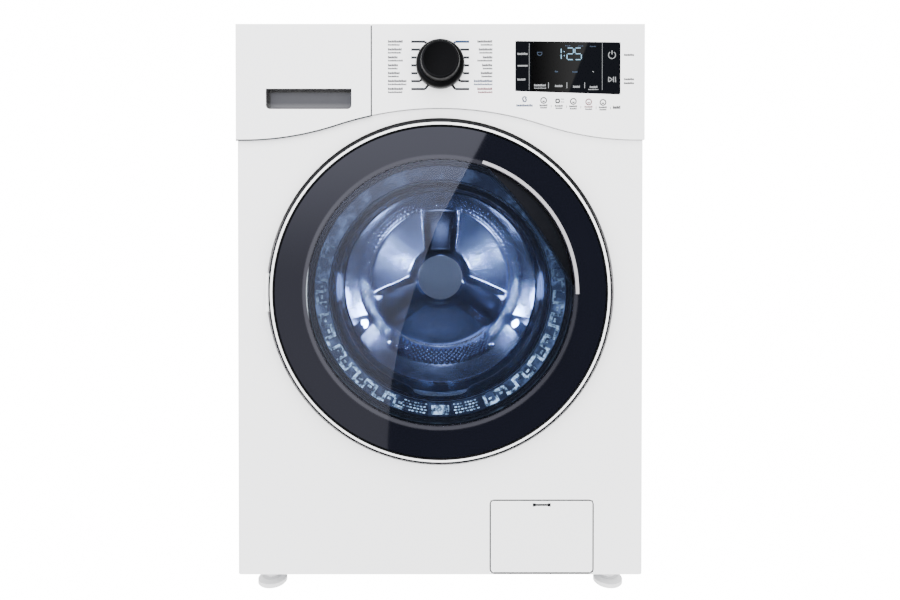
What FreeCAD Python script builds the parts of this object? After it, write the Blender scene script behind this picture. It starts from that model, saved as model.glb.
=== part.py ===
import FreeCAD, Part
import math
import os
import re
import Sketcher
from FreeCAD import Placement, Rotation, Vector

"""Front-loading washing machine with a belt-driven drum.

Millimetres. X runs to the right of someone facing the machine, Y to the back, Z up.
The origin is on the floor, under the middle of the whole machine.
"""

# --------------------------------------------------------------------------- driving dimensions
SIZES = {
    # cabinet
    "body_width": (600, "outside width of the cabinet, console and worktop"),
    "body_height": (850, "floor to the top of the worktop"),
    "base_height": (38, "floor to the underside of the cabinet"),
    "front_face": (-264, "Y of the front panel's outer face"),
    "console_face": (-268, "Y of the console's outer face"),
    "rear_face": (276, "Y of the cabinet's back"),
    "front_reach": (-300, "Y of the knob's end, the foremost point"),
    "rear_reach": (300, "Y of the hose connections' ends, the rearmost points"),
    "sheet": (1.2, "cabinet sheet steel"),
    "moulding": (2.5, "wall of the plastic mouldings"),
    "seam": (0.8, "gap between neighbouring outer panels"),
    "return_depth": (18, "depth of the front panel's side returns"),
    "corner_radius": (6, "front panel's upright corners"),
    "flange_width": (14, "side panels' turned-in flanges"),
    "board": (16, "worktop thickness"),
    "board_edge": (2.5, "rounding of the worktop's edges"),
    # console outline
    "curve_end": (681, "Z of the console's lower edge at the sides"),
    "curve_rise": (46.5, "height of the console's arch above its ends"),
    "curve_half": (290, "half width over which the lower edge arches"),
    "crown_radius": (486, "radius of the arch's middle"),
    "drawer_split": (-102, "X of the seam between drawer front and console"),
    "fascia": (3, "thickness of the console's front wall"),
    # display and knob
    "window_left": (110.2, "X of the display window's left edge"),
    "window_right": (264, "X of the display window's right edge"),
    "window_top": (825, "Z of the window's top left corner"),
    "window_foot": (752, "Z of the window's bottom left corner"),
    "window_top_drop": (2, "fall of the window's top edge to the right"),
    "window_foot_drop": (5, "fall of the window's bottom edge to the right"),
    "window_corner": (3, "rounding of the window's corners"),
    "window_fit": (0.25, "gap round the window"),
    "knob_height": (789.4, "Z of the programme knob"),
    "knob_radius": (35.2, "knob's skirt"),
    "knob_cap_radius": (24.7, "knob's front face"),
    "knob_shaft": (3, "radius of the selector's shaft"),
    # door
    "drum_height": (457, "Z of the drum's and the door's axis"),
    "recess_radius": (256.5, "door recess in the front panel"),
    "recess_floor": (-244, "Y of the recess's floor"),
    "recess_floor_radius": (251, "recess's radius at its floor"),
    "port_radius": (175, "hole in the recess's floor"),
    "door_front": (-279.5, "Y of the door glass's outer face"),
    "ring_outer": (248, "door's bright ring, outside"),
    "ring_inner": (241.5, "door's bright ring, inside"),
    "frame_outer": (247, "door's front frame, outside"),
    "frame_inner": (192, "door's front frame, inside"),
    "frame_front": (-275, "Y of the front frame's face"),
    "frame_back": (-262, "Y of the front frame's back"),
    "rear_frame_outer": (236, "door's rear frame, outside"),
    "rear_frame_inner": (164, "door's rear frame, inside"),
    "rear_frame_back": (-246.5, "Y of the rear frame's back"),
    "bowl_rim": (188, "radius of the glass bowl's rim"),
    "hinge_x": (-252, "X of the door's hinge pin"),
    "hinge_y": (-270, "Y of the door's hinge pin"),
    "hinge_pin": (2.4, "radius of the hinge pin"),
    "running_gap": (0.05, "radial clearance of running fits"),
    "strip_radius": (199, "middle of the bright handle strip"),
    "strip_width": (4.6, "width of the handle strip"),
    "strip_start": (-0.5, "angle where the handle strip starts"),
    "strip_end": (72, "angle where the handle strip ends"),
    "grip_radius": (195.5, "outer edge of the finger pocket"),
    "grip_start": (2, "angle where the finger pocket starts"),
    "grip_end": (70, "angle where the finger pocket ends"),
    "grip_arch": (640, "radius of the finger pocket's inner edge"),
    # drum
    "drum_radius": (236, "drum, outside"),
    "drum_sheet": (1, "drum sheet steel"),
    "drum_mouth": (155, "radius of the drum's opening"),
    "drum_front": (-174, "Y of the drum's front edge"),
    "cone_start": (95, "Y where the drum's back starts to slope in"),
    "cone_end": (142, "Y where the drum's back is flat again"),
    "back_radius": (157, "radius of the drum back's flat middle"),
    "hub_radius": (47, "disc in the middle of the drum's back"),
    "lifter_height": (80, "height of the lifters at the back"),
    # tub
    "tub_radius": (250, "tub, outside"),
    "tub_wall": (4, "tub wall"),
    "tub_front": (-204, "Y of the tub's front wall"),
    "tub_rear": (188, "Y of the tub's back wall"),
    "tub_joint": (0, "Y of the joint between the tub's halves"),
    "tub_mouth": (168, "radius of the tub's opening"),
    "shaft_front_radius": (15, "drum shaft at the front bearing"),
    "shaft_rear_radius": (12.5, "drum shaft at the rear bearing"),
    "bearing_front_outer": (31, "outer radius of the front bearing"),
    "bearing_rear_outer": (26, "outer radius of the rear bearing"),
    # drive
    "pulley_radius": (140, "drum pulley's belt seat"),
    "motor_pulley_radius": (12, "motor pulley's belt seat"),
    "motor_height": (123, "Z of the motor's axis"),
    "motor_radius": (55, "motor can"),
    "belt_thickness": (4, "drive belt"),
    "belt_front": (240, "Y of the belt's front edge"),
    "belt_back": (254, "Y of the belt's back edge"),
    # suspension and feet
    "damper_x": (130, "X of the dampers, either side"),
    "damper_y": (24, "Y of the dampers"),
    "damper_radius": (14, "damper cylinder"),
    "damper_rod": (9, "damper rod"),
    "spring_x": (272, "X of the springs, either side"),
    "spring_y": (56, "Y of the springs"),
    "spring_radius": (11, "middle of the spring's coil"),
    "spring_wire": (1.8, "radius of the spring wire"),
    "spring_low": (650, "Z of the springs' lower ends"),
    "spring_high": (770, "Z of the springs' upper ends"),
    "foot_x": (262, "X of the feet, either side"),
    "foot_front_y": (-214, "Y of the front feet"),
    "foot_rear_y": (236, "Y of the rear feet"),
    "foot_radius": (22, "foot pad"),
    "stud_radius": (5, "foot's threaded stud"),
    # pump and flap
    "flap_left": (75.2, "X of the filter flap's left edge"),
    "flap_right": (225.4, "X of the filter flap's right edge"),
    "flap_low": (40.8, "Z of the filter flap's lower edge"),
    "flap_pivot": (1.1, "radius of the flap's pivot barrel"),
    "flap_high": (147.2, "Z of the filter flap's upper edge"),
    "flap_slot_drop": (5.8, "filter flap's slot, below the flap's upper edge"),
    "flap_corner": (4, "rounding of the flap's corners"),
    "filter_x": (150, "X of the pump filter"),
    "filter_height": (96, "Z of the pump filter"),
    "filter_radius": (32, "pump filter's housing"),
    # detergent drawer
    "tray_left": (-284, "X of the drawer tray's left side"),
    "tray_right": (-114, "X of the drawer tray's right side"),
    "tray_low": (742, "Z of the drawer tray's underside"),
    "tray_high": (804, "Z of the drawer tray's rim"),
    "tray_back": (10, "Y of the drawer tray's back"),
    "cup_left": (-255.8, "X of the drawer handle's left end"),
    "cup_right": (-130, "X of the drawer handle's right end"),
    "cup_low": (725.5, "Z of the drawer handle's lower edge"),
    "cup_high": (755.5, "Z of the drawer handle's upper edge"),
    "cup_corner": (6, "rounding of the drawer handle's lower corners"),
    # water connections
    "valve_x": (-230, "X of the inlet valve"),
    "valve_height": (788, "Z of the inlet valve"),
    "valve_thread": (13.2, "outside radius of the inlet's three-quarter-inch thread"),
    "drain_x": (264, "X of the drain hose's riser"),
    "drain_height": (618, "Z where the drain hose leaves the cabinet"),
    "drain_radius": (11, "drain hose"),
}

doc = FreeCAD.newDocument("washing_machine")
sheet = doc.addObject("Spreadsheet::Sheet", "Sizes")
for row, (alias, (value, note)) in enumerate(SIZES.items(), start=1):
    sheet.set(f"A{row}", alias.replace("_", " "))
    sheet.set(f"B{row}", str(value))
    sheet.setAlias(f"B{row}", alias)
    sheet.set(f"C{row}", note)
doc.recompute()

PARTS = []
WORD = re.compile(r"[a-z_]+")
# centre of the console arch's middle, and the radius of its ends
CROWN_CENTRE = "(curve_end + curve_rise - crown_radius)"
ARCH_SPAN = "((curve_half * curve_half + curve_rise * curve_rise) / (2 * curve_rise))"
SIDE_RADIUS = f"({ARCH_SPAN} - crown_radius)"


# --------------------------------------------------------------------------- helpers
def linked(text):
    """An expression in which every size's name points at its cell in the spreadsheet."""
    return WORD.sub(lambda m: f"Sizes.{m.group(0)}" if m.group(0) in SIZES else m.group(0), str(text))


def number(text):
    """The present value of an expression on the sizes."""
    return float(sheet.evalExpression(linked(text)))


def bind(owner, name, text):
    owner.setExpression(name, linked(text))


def keep(owner, label):
    """Marks an object as a finished sub-part."""
    owner.Label = label
    PARTS.append(owner)
    return owner


def new_body(name):
    return doc.addObject("PartDesign::Body", f"{name}_body")


def sketch(body, role, across="0", up="0", out="0"):
    """A sketch on one of the body's origin planes, moved by expressions along its own axes."""
    made = body.newObject("Sketcher::SketchObject", "Sketch")
    plane = next(f for f in body.Origin.OriginFeatures if f.Role == role)
    made.AttachmentSupport = [(plane, "")]
    made.MapMode = "FlatFace"
    bind(made, "AttachmentOffset.Base.x", across)
    bind(made, "AttachmentOffset.Base.y", up)
    bind(made, "AttachmentOffset.Base.z", out)
    return made


def tie(owner, together, driven):
    """Adds all of an outline's constraints at once, then lets expressions drive those with a size."""
    first = owner.ConstraintCount
    made = [Sketcher.Constraint(kind, *args, number(text)) for kind, args, text, _ in driven]
    owner.addConstraint(made + [Sketcher.Constraint("Coincident", *args) for args in together])
    for offset, (_, _, text, name) in enumerate(driven):
        owner.renameConstraint(first + offset, name)
        bind(owner, f"Constraints.{name}", text)


def pinned(edge, vertex, x, y, name):
    """The two distances that tie one end of an edge to the sketch's origin."""
    return [
        (f"Distance{axis}", (-1, 1, edge, vertex), text, f"{name}{axis.lower()}") for axis, text in (("X", x), ("Y", y))
    ]


def arc_through(start, end, radius, side):
    """The anticlockwise arc between two points, with its centre left (1) or right (-1) of the way along."""
    chord = end - start
    half = chord.Length / 2
    left = Vector(-chord.y, chord.x, 0).normalize()
    centre = start + chord / 2 + left * side * math.sqrt(max(radius * radius - half * half, 0))
    first, last = (start, end) if side > 0 else (end, start)
    angles = [math.atan2(p.y - centre.y, p.x - centre.x) for p in (first, last)]
    if angles[1] < angles[0]:
        angles[1] += 2 * math.pi
    return Part.ArcOfCircle(Part.Circle(centre, Vector(0, 0, 1), radius), angles[0], angles[1])


def outline(owner, points):
    """A closed outline. A point is (x, y), or (x, y, radius, side) where an arc runs to the next point."""
    places = [Vector(number(p[0]), number(p[1]), 0) for p in points]
    first = owner.GeometryCount
    count = len(points)
    for i, point in enumerate(points):
        start, end = places[i], places[(i + 1) % count]
        if len(point) == 4:
            owner.addGeometry(arc_through(start, end, number(point[2]), point[3]), False)
        else:
            owner.addGeometry(Part.LineSegment(start, end), False)
    # an arc with its centre on the right runs from its second point to its first
    ends = [(2, 1) if len(point) == 4 and point[3] < 0 else (1, 2) for point in points]
    driven, together = [], []
    for i, point in enumerate(points):
        following = (i + 1) % count
        together.append((first + i, ends[i][1], first + following, ends[following][0]))
        driven += pinned(first + i, ends[i][0], point[0], point[1], f"p{first + i}")
        if len(point) == 4:
            driven.append(("Radius", (first + i,), point[2], f"r{first + i}"))
    tie(owner, together, driven)
    return owner


def circle(owner, x, y, radius):
    made = owner.addGeometry(Part.Circle(Vector(number(x), number(y), 0), Vector(0, 0, 1), number(radius)), False)
    tie(owner, [], pinned(made, 3, x, y, f"c{made}") + [("Radius", (made,), radius, f"r{made}")])
    return owner


def rectangle(x_low, x_high, y_low, y_high):
    return [(x_low, y_low), (x_high, y_low), (x_high, y_high), (x_low, y_high)]


def padded(body, drawn, length):
    made = body.newObject("PartDesign::Pad", "Pad")
    made.Profile = drawn
    bind(made, "Length", length)
    return made


def pocketed(body, drawn, length):
    made = body.newObject("PartDesign::Pocket", "Pocket")
    made.Profile = drawn
    bind(made, "Length", length)
    return made


def slab_y(body, points, back, front):
    """Adds an outline drawn in X and Z, from Y back to Y front."""
    return padded(body, outline(sketch(body, "XZ_Plane", out=f"-({back})"), points), f"({back}) - ({front})")


def slab_z(body, points, low, high):
    """Adds an outline drawn in X and Y, from Z low to Z high."""
    return padded(body, outline(sketch(body, "XY_Plane", out=low), points), f"({high}) - ({low})")


def cut_y(body, points, back, front):
    """Cuts an outline drawn in X and Z out of the body, from Y front to Y back."""
    return pocketed(body, outline(sketch(body, "XZ_Plane", out=f"-({front})"), points), f"({back}) - ({front})")


def cut_z(body, points, low, high):
    """Cuts an outline drawn in X and Y out of the body, from Z high down to Z low."""
    return pocketed(body, outline(sketch(body, "XY_Plane", out=high), points), f"({high}) - ({low})")


def drill_y(body, x, z, radius, back, front):
    """Drills a round hole along Y."""
    return pocketed(body, circle(sketch(body, "XZ_Plane", out=f"-({front})"), x, z, radius), f"({back}) - ({front})")


def disc_y(body, x, z, radius, back, front):
    """Adds a round bar along Y."""
    return padded(body, circle(sketch(body, "XZ_Plane", out=f"-({back})"), x, z, radius), f"({back}) - ({front})")


def disc_z(body, x, y, radius, low, high):
    """Adds an upright round bar."""
    return padded(body, circle(sketch(body, "XY_Plane", out=low), x, y, radius), f"({high}) - ({low})")


def drill_z(body, x, y, radius, low, high):
    """Drills an upright round hole."""
    return pocketed(body, circle(sketch(body, "XY_Plane", out=high), x, y, radius), f"({high}) - ({low})")


def turned_y(body, profile, x="0", z="drum_height"):
    """Turns a profile of (Y, radius) points round an axis along Y."""
    drawn = outline(sketch(body, "YZ_Plane", up=z, out=x), profile)
    made = body.newObject("PartDesign::Revolution", "Turn")
    made.Profile = drawn
    made.ReferenceAxis = (drawn, ["H_Axis"])
    made.Angle = 360
    return made


def turned_z(body, profile, x="0", y="0"):
    """Turns a profile of (radius, Z) points round an upright axis."""
    drawn = outline(sketch(body, "XZ_Plane", across=x, out=f"-({y})"), profile)
    made = body.newObject("PartDesign::Revolution", "Turn")
    made.Profile = drawn
    made.ReferenceAxis = (drawn, ["V_Axis"])
    made.Angle = 360
    return made


def rounded(body, feature, radius, wanted):
    """Rounds the edges of the feature that the test picks."""
    doc.recompute()
    names = [f"Edge{i}" for i, e in enumerate(feature.Shape.Edges, start=1) if wanted(e)]
    made = body.newObject("PartDesign::Fillet", "Fillet")
    made.Base = (feature, names)
    bind(made, "Radius", radius)
    return made


def along(edge, axis):
    """True for a straight edge parallel to the axis."""
    return isinstance(edge.Curve, Part.Line) and abs(abs(edge.Curve.Direction.dot(axis)) - 1) < 1e-6


def block(name, x_low, x_high, y_low, y_high, z_low, z_high):
    made = doc.addObject("Part::Box", name)
    bind(made, "Length", f"({x_high}) - ({x_low})")
    bind(made, "Width", f"({y_high}) - ({y_low})")
    bind(made, "Height", f"({z_high}) - ({z_low})")
    bind(made, "Placement.Base.x", x_low)
    bind(made, "Placement.Base.y", y_low)
    bind(made, "Placement.Base.z", z_low)
    return made


ALONG_X = Rotation(Vector(0, 1, 0), 90)
ALONG_Y = Rotation(Vector(1, 0, 0), -90)
ALONG_Z = Rotation()


def bar(name, radius, length, x, y, z, turn=ALONG_Z):
    """A round bar that starts at a point and runs along the turned Z axis."""
    made = doc.addObject("Part::Cylinder", name)
    made.Placement = Placement(Vector(), turn)
    bind(made, "Radius", radius)
    bind(made, "Height", length)
    bind(made, "Placement.Base.x", x)
    bind(made, "Placement.Base.y", y)
    bind(made, "Placement.Base.z", z)
    return made


def fused(name, *pieces):
    made = doc.addObject("Part::MultiFuse", name)
    made.Shapes = list(pieces)
    return made


def cut_away(name, base, tool):
    made = doc.addObject("Part::Cut", name)
    made.Base = base
    made.Tool = tool
    return made


def group(name, *pieces):
    """Separate solids that share one sub-part."""
    made = doc.addObject("Part::Compound", name)
    made.Links = list(pieces)
    return made


def mirrored(name, source):
    """The source's mirror image across the machine's middle plane."""
    made = doc.addObject("Part::Mirroring", name)
    made.Source = source
    made.Normal = Vector(1, 0, 0)
    return made


def polar(angle, radius):
    """Expressions for the X and Z of a point at an angle and radius from the drum's axis."""
    return (
        f"({radius}) * cos(({angle}) * 1 deg)",
        f"drum_height + ({radius}) * sin(({angle}) * 1 deg)",
    )


# --------------------------------------------------------------------------- console outline
def arch_turn(gap, side):
    """Where the arch's middle meets its end, for an edge that lies gap below the console's own."""
    share = f"((crown_radius - ({gap})) / {ARCH_SPAN})"
    return f"{side} * curve_half * {share}", f"{CROWN_CENTRE} + ({ARCH_SPAN} - curve_rise) * {share}"


def crown_height(gap, x):
    """Z of the arch's middle at an X."""
    radius = f"(crown_radius - ({gap}))"
    return f"{CROWN_CENTRE} + sqrt({radius} * {radius} - ({x}) * ({x}))"


def console_outline(left, right, top, gap="0", left_end=True, right_end=True):
    """The console's outline between two X, closed along its top, with its lower edge moved down by gap."""
    crown = f"crown_radius - ({gap})"
    side = f"{SIDE_RADIUS} + ({gap})"
    end_height = f"curve_end - ({gap})"
    points = []
    if left_end:
        points += [(left, end_height), ("-curve_half", end_height, side, 1), (*arch_turn(gap, -1), crown, -1)]
    else:
        points += [(left, crown_height(gap, left), crown, -1)]
    if right_end:
        points += [(*arch_turn(gap, 1), side, 1), ("curve_half", end_height), (right, end_height)]
    else:
        points += [(right, crown_height(gap, right))]
    return points + [(right, top), (left, top)]


# --------------------------------------------------------------------------- cabinet
def side_panels():
    body = new_body("side_panel")
    wall = "-body_width / 2"
    skin = f"{wall} + sheet"
    lip = f"{wall} + flange_width"
    front = "front_face + return_depth + seam"
    slab_z(
        body,
        [
            (wall, front),
            (lip, front),
            (lip, f"{front} + sheet"),
            (skin, f"{front} + sheet"),
            (skin, "rear_face - sheet"),
            (lip, "rear_face - sheet"),
            (lip, "rear_face"),
            (wall, "rear_face"),
        ],
        "base_height",
        "body_height - board - 0.4",
    )
    keep(body, "left_side_panel")
    keep(mirrored("right_side_panel_mirror", body), "right_side_panel")


def front_panel():
    body = new_body("front_panel")
    half, inner = "body_width / 2", "body_width / 2 - sheet"
    front, skin = "front_face", "front_face + sheet"
    bend, back = "front_face + corner_radius", "front_face + return_depth"
    bent = "body_width / 2 - corner_radius"
    slab_z(
        body,
        [
            (f"-{half}", back),
            (f"-{half}", bend, "corner_radius", 1),
            (f"-({bent})", front),
            (bent, front, "corner_radius", 1),
            (half, bend),
            (half, back),
            (inner, back),
            (inner, bend, "corner_radius - sheet", -1),
            (bent, skin),
            (f"-({bent})", skin, "corner_radius - sheet", -1),
            (f"-({inner})", bend),
            (f"-({inner})", back),
        ],
        "base_height",
        "curve_end + curve_rise + 20",
    )
    above = console_outline("-body_width / 2 - 5", "body_width / 2 + 5", "curve_end + curve_rise + 30", "seam")
    cut_y(body, above, f"{back} + 5", "front_face - 5")
    drill_y(body, "0", "drum_height", "recess_radius + sheet / 2", "front_face + 5", "front_face - 5")
    floor_skin = "recess_floor + sheet"
    turned_y(
        body,
        [
            ("front_face", "recess_radius"),
            ("recess_floor", "recess_floor_radius"),
            ("recess_floor", "port_radius"),
            ("recess_floor + 12", "port_radius"),
            ("recess_floor + 12", "port_radius + sheet"),
            (floor_skin, "port_radius + sheet"),
            (floor_skin, "recess_floor_radius + sheet"),
            (skin, "recess_radius + 1.5 * sheet"),
            ("front_face", "recess_radius + 1.5 * sheet"),
        ],
    )
    cut_y(
        body,
        rectangle("flap_left - seam", "flap_right + seam", "flap_low - seam", "flap_high + seam"),
        "front_face + 5",
        "front_face - 5",
    )
    # slot that lets the door's hook through to the lock
    cut_y(
        body,
        rectangle("208", "232", "drum_height - 13", "drum_height + 13"),
        "recess_floor + 3",
        "recess_floor - 1",
    )
    keep(body, "front_panel")


def worktop():
    body = new_body("top_plate")
    edge_front = "front_face + return_depth + seam"
    plate = slab_z(
        body,
        rectangle("-body_width / 2", "body_width / 2", edge_front, "rear_face"),
        "body_height - board",
        "body_height",
    )
    top = number("body_height")
    rounded(body, plate, "board_edge", lambda e: all(abs(v.Z - top) < 1e-3 for v in e.Vertexes))
    keep(body, "top_plate")


def rear_panels():
    body = new_body("rear_panel")
    back, front = "rear_face - sheet - 0.2", "rear_face - 2 * sheet - 0.2"
    slab_y(
        body,
        rectangle(
            "-body_width / 2 + sheet + 0.3",
            "body_width / 2 - sheet - 0.3",
            "base_height + 1",
            "body_height - board - 1",
        ),
        back,
        front,
    )
    drill_y(body, "0", "drum_height - 60", "185", "rear_face + 5", "rear_face - 10")
    drill_y(body, "valve_x", "valve_height", "valve_thread + 1.3", "rear_face + 5", "rear_face - 10")
    drill_y(body, "drain_x", "drain_height", "drain_radius + 1", "rear_face + 5", "rear_face - 10")
    drill_y(body, "-200", "658", "7", "rear_face + 5", "rear_face - 10")
    keep(body, "rear_panel")

    cover = new_body("rear_cover")
    flange_front = "rear_face - sheet"
    turned_y(
        cover,
        [
            (flange_front, "196"),
            (flange_front, "180"),
            (f"{flange_front} + 7", "168"),
            (f"{flange_front} + 7", "0"),
            (f"{flange_front} + 7 + sheet", "0"),
            (f"{flange_front} + 7 + sheet", "168.6"),
            (f"{flange_front} + sheet", "180.6"),
            (f"{flange_front} + sheet", "196"),
        ],
        z="drum_height - 60",
    )
    keep(cover, "rear_cover")

    heads = []
    for count in range(8):
        angle = 22.5 + 45 * count
        x = f"188 * cos({angle} * 1 deg)"
        z = f"drum_height - 60 + 188 * sin({angle} * 1 deg)"
        heads.append(bar(f"rear_screw_{count}", "4.5", "2.4", x, "rear_face + 0.05", z, ALONG_Y))
    keep(group("rear_screws_group", *heads), "rear_screws")

    gland = new_body("cord_gland")
    turned_y(
        gland,
        [
            ("rear_face - 8", "4"),
            ("rear_face - 8", "6.8"),
            ("rear_face - sheet", "6.8"),
            ("rear_face - sheet", "11"),
            ("rear_face + 3", "11"),
            ("rear_face + 12", "7"),
            ("rear_face + 12", "4"),
        ],
        x="-200",
        z="658",
    )
    keep(gland, "cord_gland")


def base_pan():
    body = new_body("base_pan")
    left, right = "-body_width / 2 + sheet + 0.4", "body_width / 2 - sheet - 0.4"
    front, back = "front_face + return_depth + 3", "rear_face - 2 * sheet - 1"
    floor, wall, rim = "base_height", "2", "base_height + 26"
    slab_z(body, rectangle(left, right, front, back), floor, rim)
    cut_z(
        body,
        rectangle(f"{left} + {wall}", f"{right} - {wall}", f"{front} + {wall}", f"{back} - {wall}"),
        f"{floor} + {wall}",
        rim,
    )
    for side in ("-", ""):
        for y in ("foot_front_y", "foot_rear_y"):
            disc_z(body, f"{side}foot_x", y, "12", floor, f"{floor} + 16")
            drill_z(body, f"{side}foot_x", y, "stud_radius + running_gap", f"{floor} - 1", f"{floor} + 17")
    # feet that carry the dampers' lower ends
    for side in ("-", ""):
        disc_z(body, f"{side}damper_x", "damper_y", "20", floor, f"{floor} + 8")
    # trough that holds the pump's filter housing
    cut_y(
        body,
        rectangle("filter_x - 45", "filter_x + 45", f"{floor} + {wall}", f"{rim} + 5"),
        f"{front} + 8",
        f"{front} - 1",
    )
    keep(body, "base_pan")


def feet():
    places = {
        "front_left_foot": ("-foot_x", "foot_front_y"),
        "front_right_foot": ("foot_x", "foot_front_y"),
        "rear_left_foot": ("-foot_x", "foot_rear_y"),
        "rear_right_foot": ("foot_x", "foot_rear_y"),
    }
    for label, (x, y) in places.items():
        body = new_body(label)
        turned_z(
            body,
            [
                ("0", "0"),
                ("foot_radius - 1.5", "0"),
                ("foot_radius", "1.5"),
                ("foot_radius", "7"),
                ("foot_radius - 6", "11"),
                ("10", "12"),
                ("10", "18"),
                ("stud_radius", "18"),
                ("stud_radius", "base_height + 30"),
                ("0", "base_height + 30"),
            ],
            x,
            y,
        )
        keep(body, label)


# --------------------------------------------------------------------------- console and controls
def window_outline(grow):
    """The display window's outline, grown on every side."""
    return [
        (f"window_left - ({grow})", f"window_foot - ({grow})"),
        (f"window_right + ({grow})", f"window_foot - window_foot_drop - ({grow})"),
        (f"window_right + ({grow})", f"window_top - window_top_drop + ({grow})"),
        (f"window_left - ({grow})", f"window_top + ({grow})"),
    ]


def upright_to_y(edge):
    """True for an edge that runs front to back."""
    return along(edge, Vector(0, 1, 0))


def console():
    body = new_body("console_panel")
    back, front = "front_face + return_depth", "console_face"
    left, right, top = "drawer_split + seam", "body_width / 2", "body_height"
    slab_y(body, console_outline(left, right, top, left_end=False), back, front)
    inner = console_outline(
        f"{left} + moulding", f"{right} - moulding", f"{top} - moulding", "-moulding", left_end=False
    )
    pocket = body.newObject("PartDesign::Pocket", "Pocket")
    pocket.Profile = outline(sketch(body, "XZ_Plane", out=f"-({back})"), inner)
    pocket.Reversed = True
    bind(pocket, "Length", f"({back}) - ({front}) - fascia")
    doc.recompute()
    # seat of the display window, and a smaller hole behind it
    cut_y(body, window_outline("window_fit"), "console_face + fascia - 0.8", "console_face - 1")
    cut_y(body, window_outline("-6"), "console_face + fascia + 1", "console_face - 1")
    drill_y(body, "0", "knob_height", "knob_shaft + 1", "console_face + fascia + 1", "console_face - 1")
    keep(body, "console_panel")

    window = new_body("display_window")
    plate = slab_y(window, window_outline("0"), "console_face + fascia - 1", "console_face - 0.3")
    rounded(window, plate, "window_corner", upright_to_y)
    keep(window, "display_window")

    board = block("board", "-30", "285", "console_face + 10", "console_face + 11.6", "756", "844")
    drill = bar("board_hole", "4", "4", "0", "console_face + 9", "knob_height", ALONG_Y)
    drilled = cut_away("drilled_board", board, drill)
    tube = bar("selector", "9", "5", "0", "console_face + 4.9", "knob_height", ALONG_Y)
    tube_hole = bar("selector_hole", "knob_shaft + running_gap", "6", "0", "console_face + 4", "knob_height", ALONG_Y)
    module = block(
        "display_module",
        "window_left + 14",
        "window_right - 14",
        "console_face + fascia + 0.4",
        "console_face + 9.9",
        "window_foot + 12",
        "window_top - 12",
    )
    keep(group("control_board_group", drilled, cut_away("bored_selector", tube, tube_hole), module), "control_board")


def knob():
    body = new_body("program_knob")
    skirt_back = "console_face - 0.5"
    turned_y(
        body,
        [
            (skirt_back, "0"),
            (skirt_back, "knob_radius - 0.6"),
            (f"{skirt_back} - 1", "knob_radius"),
            (f"{skirt_back} - 7", "knob_radius"),
            (f"{skirt_back} - 9", "knob_radius - 1.6"),
            (f"{skirt_back} - 9.5", "knob_radius - 4"),
            ("front_reach + 3", "knob_cap_radius + 3"),
            ("front_reach + 0.8", "knob_cap_radius + 1"),
            ("front_reach", "knob_cap_radius - 0.6"),
            ("front_reach", "0"),
        ],
        z="knob_height",
    )
    disc_y(body, "0", "knob_height", "knob_shaft", "console_face + 9", skirt_back)
    keep(body, "program_knob")


# --------------------------------------------------------------------------- detergent drawer
def drawer():
    body = new_body("drawer_front")
    back, front = "front_face + return_depth - 4", "console_face"
    left, right, top = "-body_width / 2", "drawer_split", "body_height"
    slab_y(body, console_outline(left, right, top, right_end=False), back, front)
    wall = "moulding"
    inner = console_outline(f"{left} + {wall}", f"{right} - {wall}", f"{top} - {wall}", f"-{wall}", right_end=False)
    pocket = body.newObject("PartDesign::Pocket", "Pocket")
    pocket.Profile = outline(sketch(body, "XZ_Plane", out=f"-({back})"), inner)
    pocket.Reversed = True
    bind(pocket, "Length", f"({back}) - ({front}) - fascia")
    doc.recompute()
    # finger cup: a walled box behind the front, then its hollow
    grow = "2"
    cup = ("cup_left", "cup_right", "cup_low", "cup_high")
    slab_y(
        body,
        rectangle(f"{cup[0]} - {grow}", f"{cup[1]} + {grow}", f"{cup[2]} - {grow}", f"{cup[3]} + 8 + {grow}"),
        back,
        f"{front} + 1",
    )
    hollow = cut_y(body, rectangle(*cup), f"{back} - {grow}", f"{front} - 1")
    # the hollow is higher behind the front wall, so that fingers hook up behind the lip
    reach = new_body("finger_reach")
    slab_y(
        reach,
        rectangle(cup[0], cup[1], f"{cup[3]} - 6", f"{cup[3]} + 8"),
        f"{back} - {grow}",
        f"{front} + fascia",
    )
    low = number("cup_low")
    rounded(body, hollow, "cup_corner", lambda e: upright_to_y(e) and in_cup_corner(e, low))
    keep(cut_away("drawer_front_cut", body, reach), "drawer_front")

    tray = new_body("drawer_tray")
    tray_front = "front_face + return_depth - 3.8"
    slab_z(tray, rectangle("tray_left", "tray_right", tray_front, "tray_back"), "tray_low", "tray_high")
    wall, floor = 2, 3
    width = "((tray_right - tray_left - 8) / 3)"
    for count in range(3):
        left = f"tray_left + {wall} + {count} * ({width} + {wall})"
        low = f"tray_low + {floor + 6 * (count == 1)}"
        cut_z(
            tray,
            rectangle(left, f"{left} + {width}", f"{tray_front} + 10", f"tray_back - {wall}"),
            low,
            "tray_high",
        )
    keep(tray, "drawer_tray")

    housing = new_body("drawer_housing")
    gap, wall = "1.5", "moulding"
    out = [f"tray_left - {gap} - {wall}", f"tray_right + {gap} + {wall}"]
    low, high = f"tray_low - {gap} - {wall}", f"tray_high + 14 + {wall}"
    house_front, house_back = "front_face + return_depth + 3", f"tray_back + 8 + {wall}"
    slab_y(housing, rectangle(out[0], out[1], low, high), house_back, house_front)
    cut_y(
        housing,
        rectangle(f"{out[0]} + {wall}", f"{out[1]} - {wall}", f"{low} + {wall}", f"{high} - {wall}"),
        f"{house_back} - {wall}",
        f"{house_front} - 1",
    )
    disc_y(housing, "valve_x", "valve_height", "6", f"{house_back} + 12", f"{house_back} - 1")
    drill_y(housing, "valve_x", "valve_height", "4", f"{house_back} + 13", f"{house_back} - {wall} - 1")
    # outlet to the tub
    disc_z(housing, "-150", "-60", "16", f"{low} - 14", f"{low} + 1")
    drill_z(housing, "-150", "-60", "13", f"{low} - 15", f"{low} + {wall} + 1")
    keep(housing, "drawer_housing")


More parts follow.
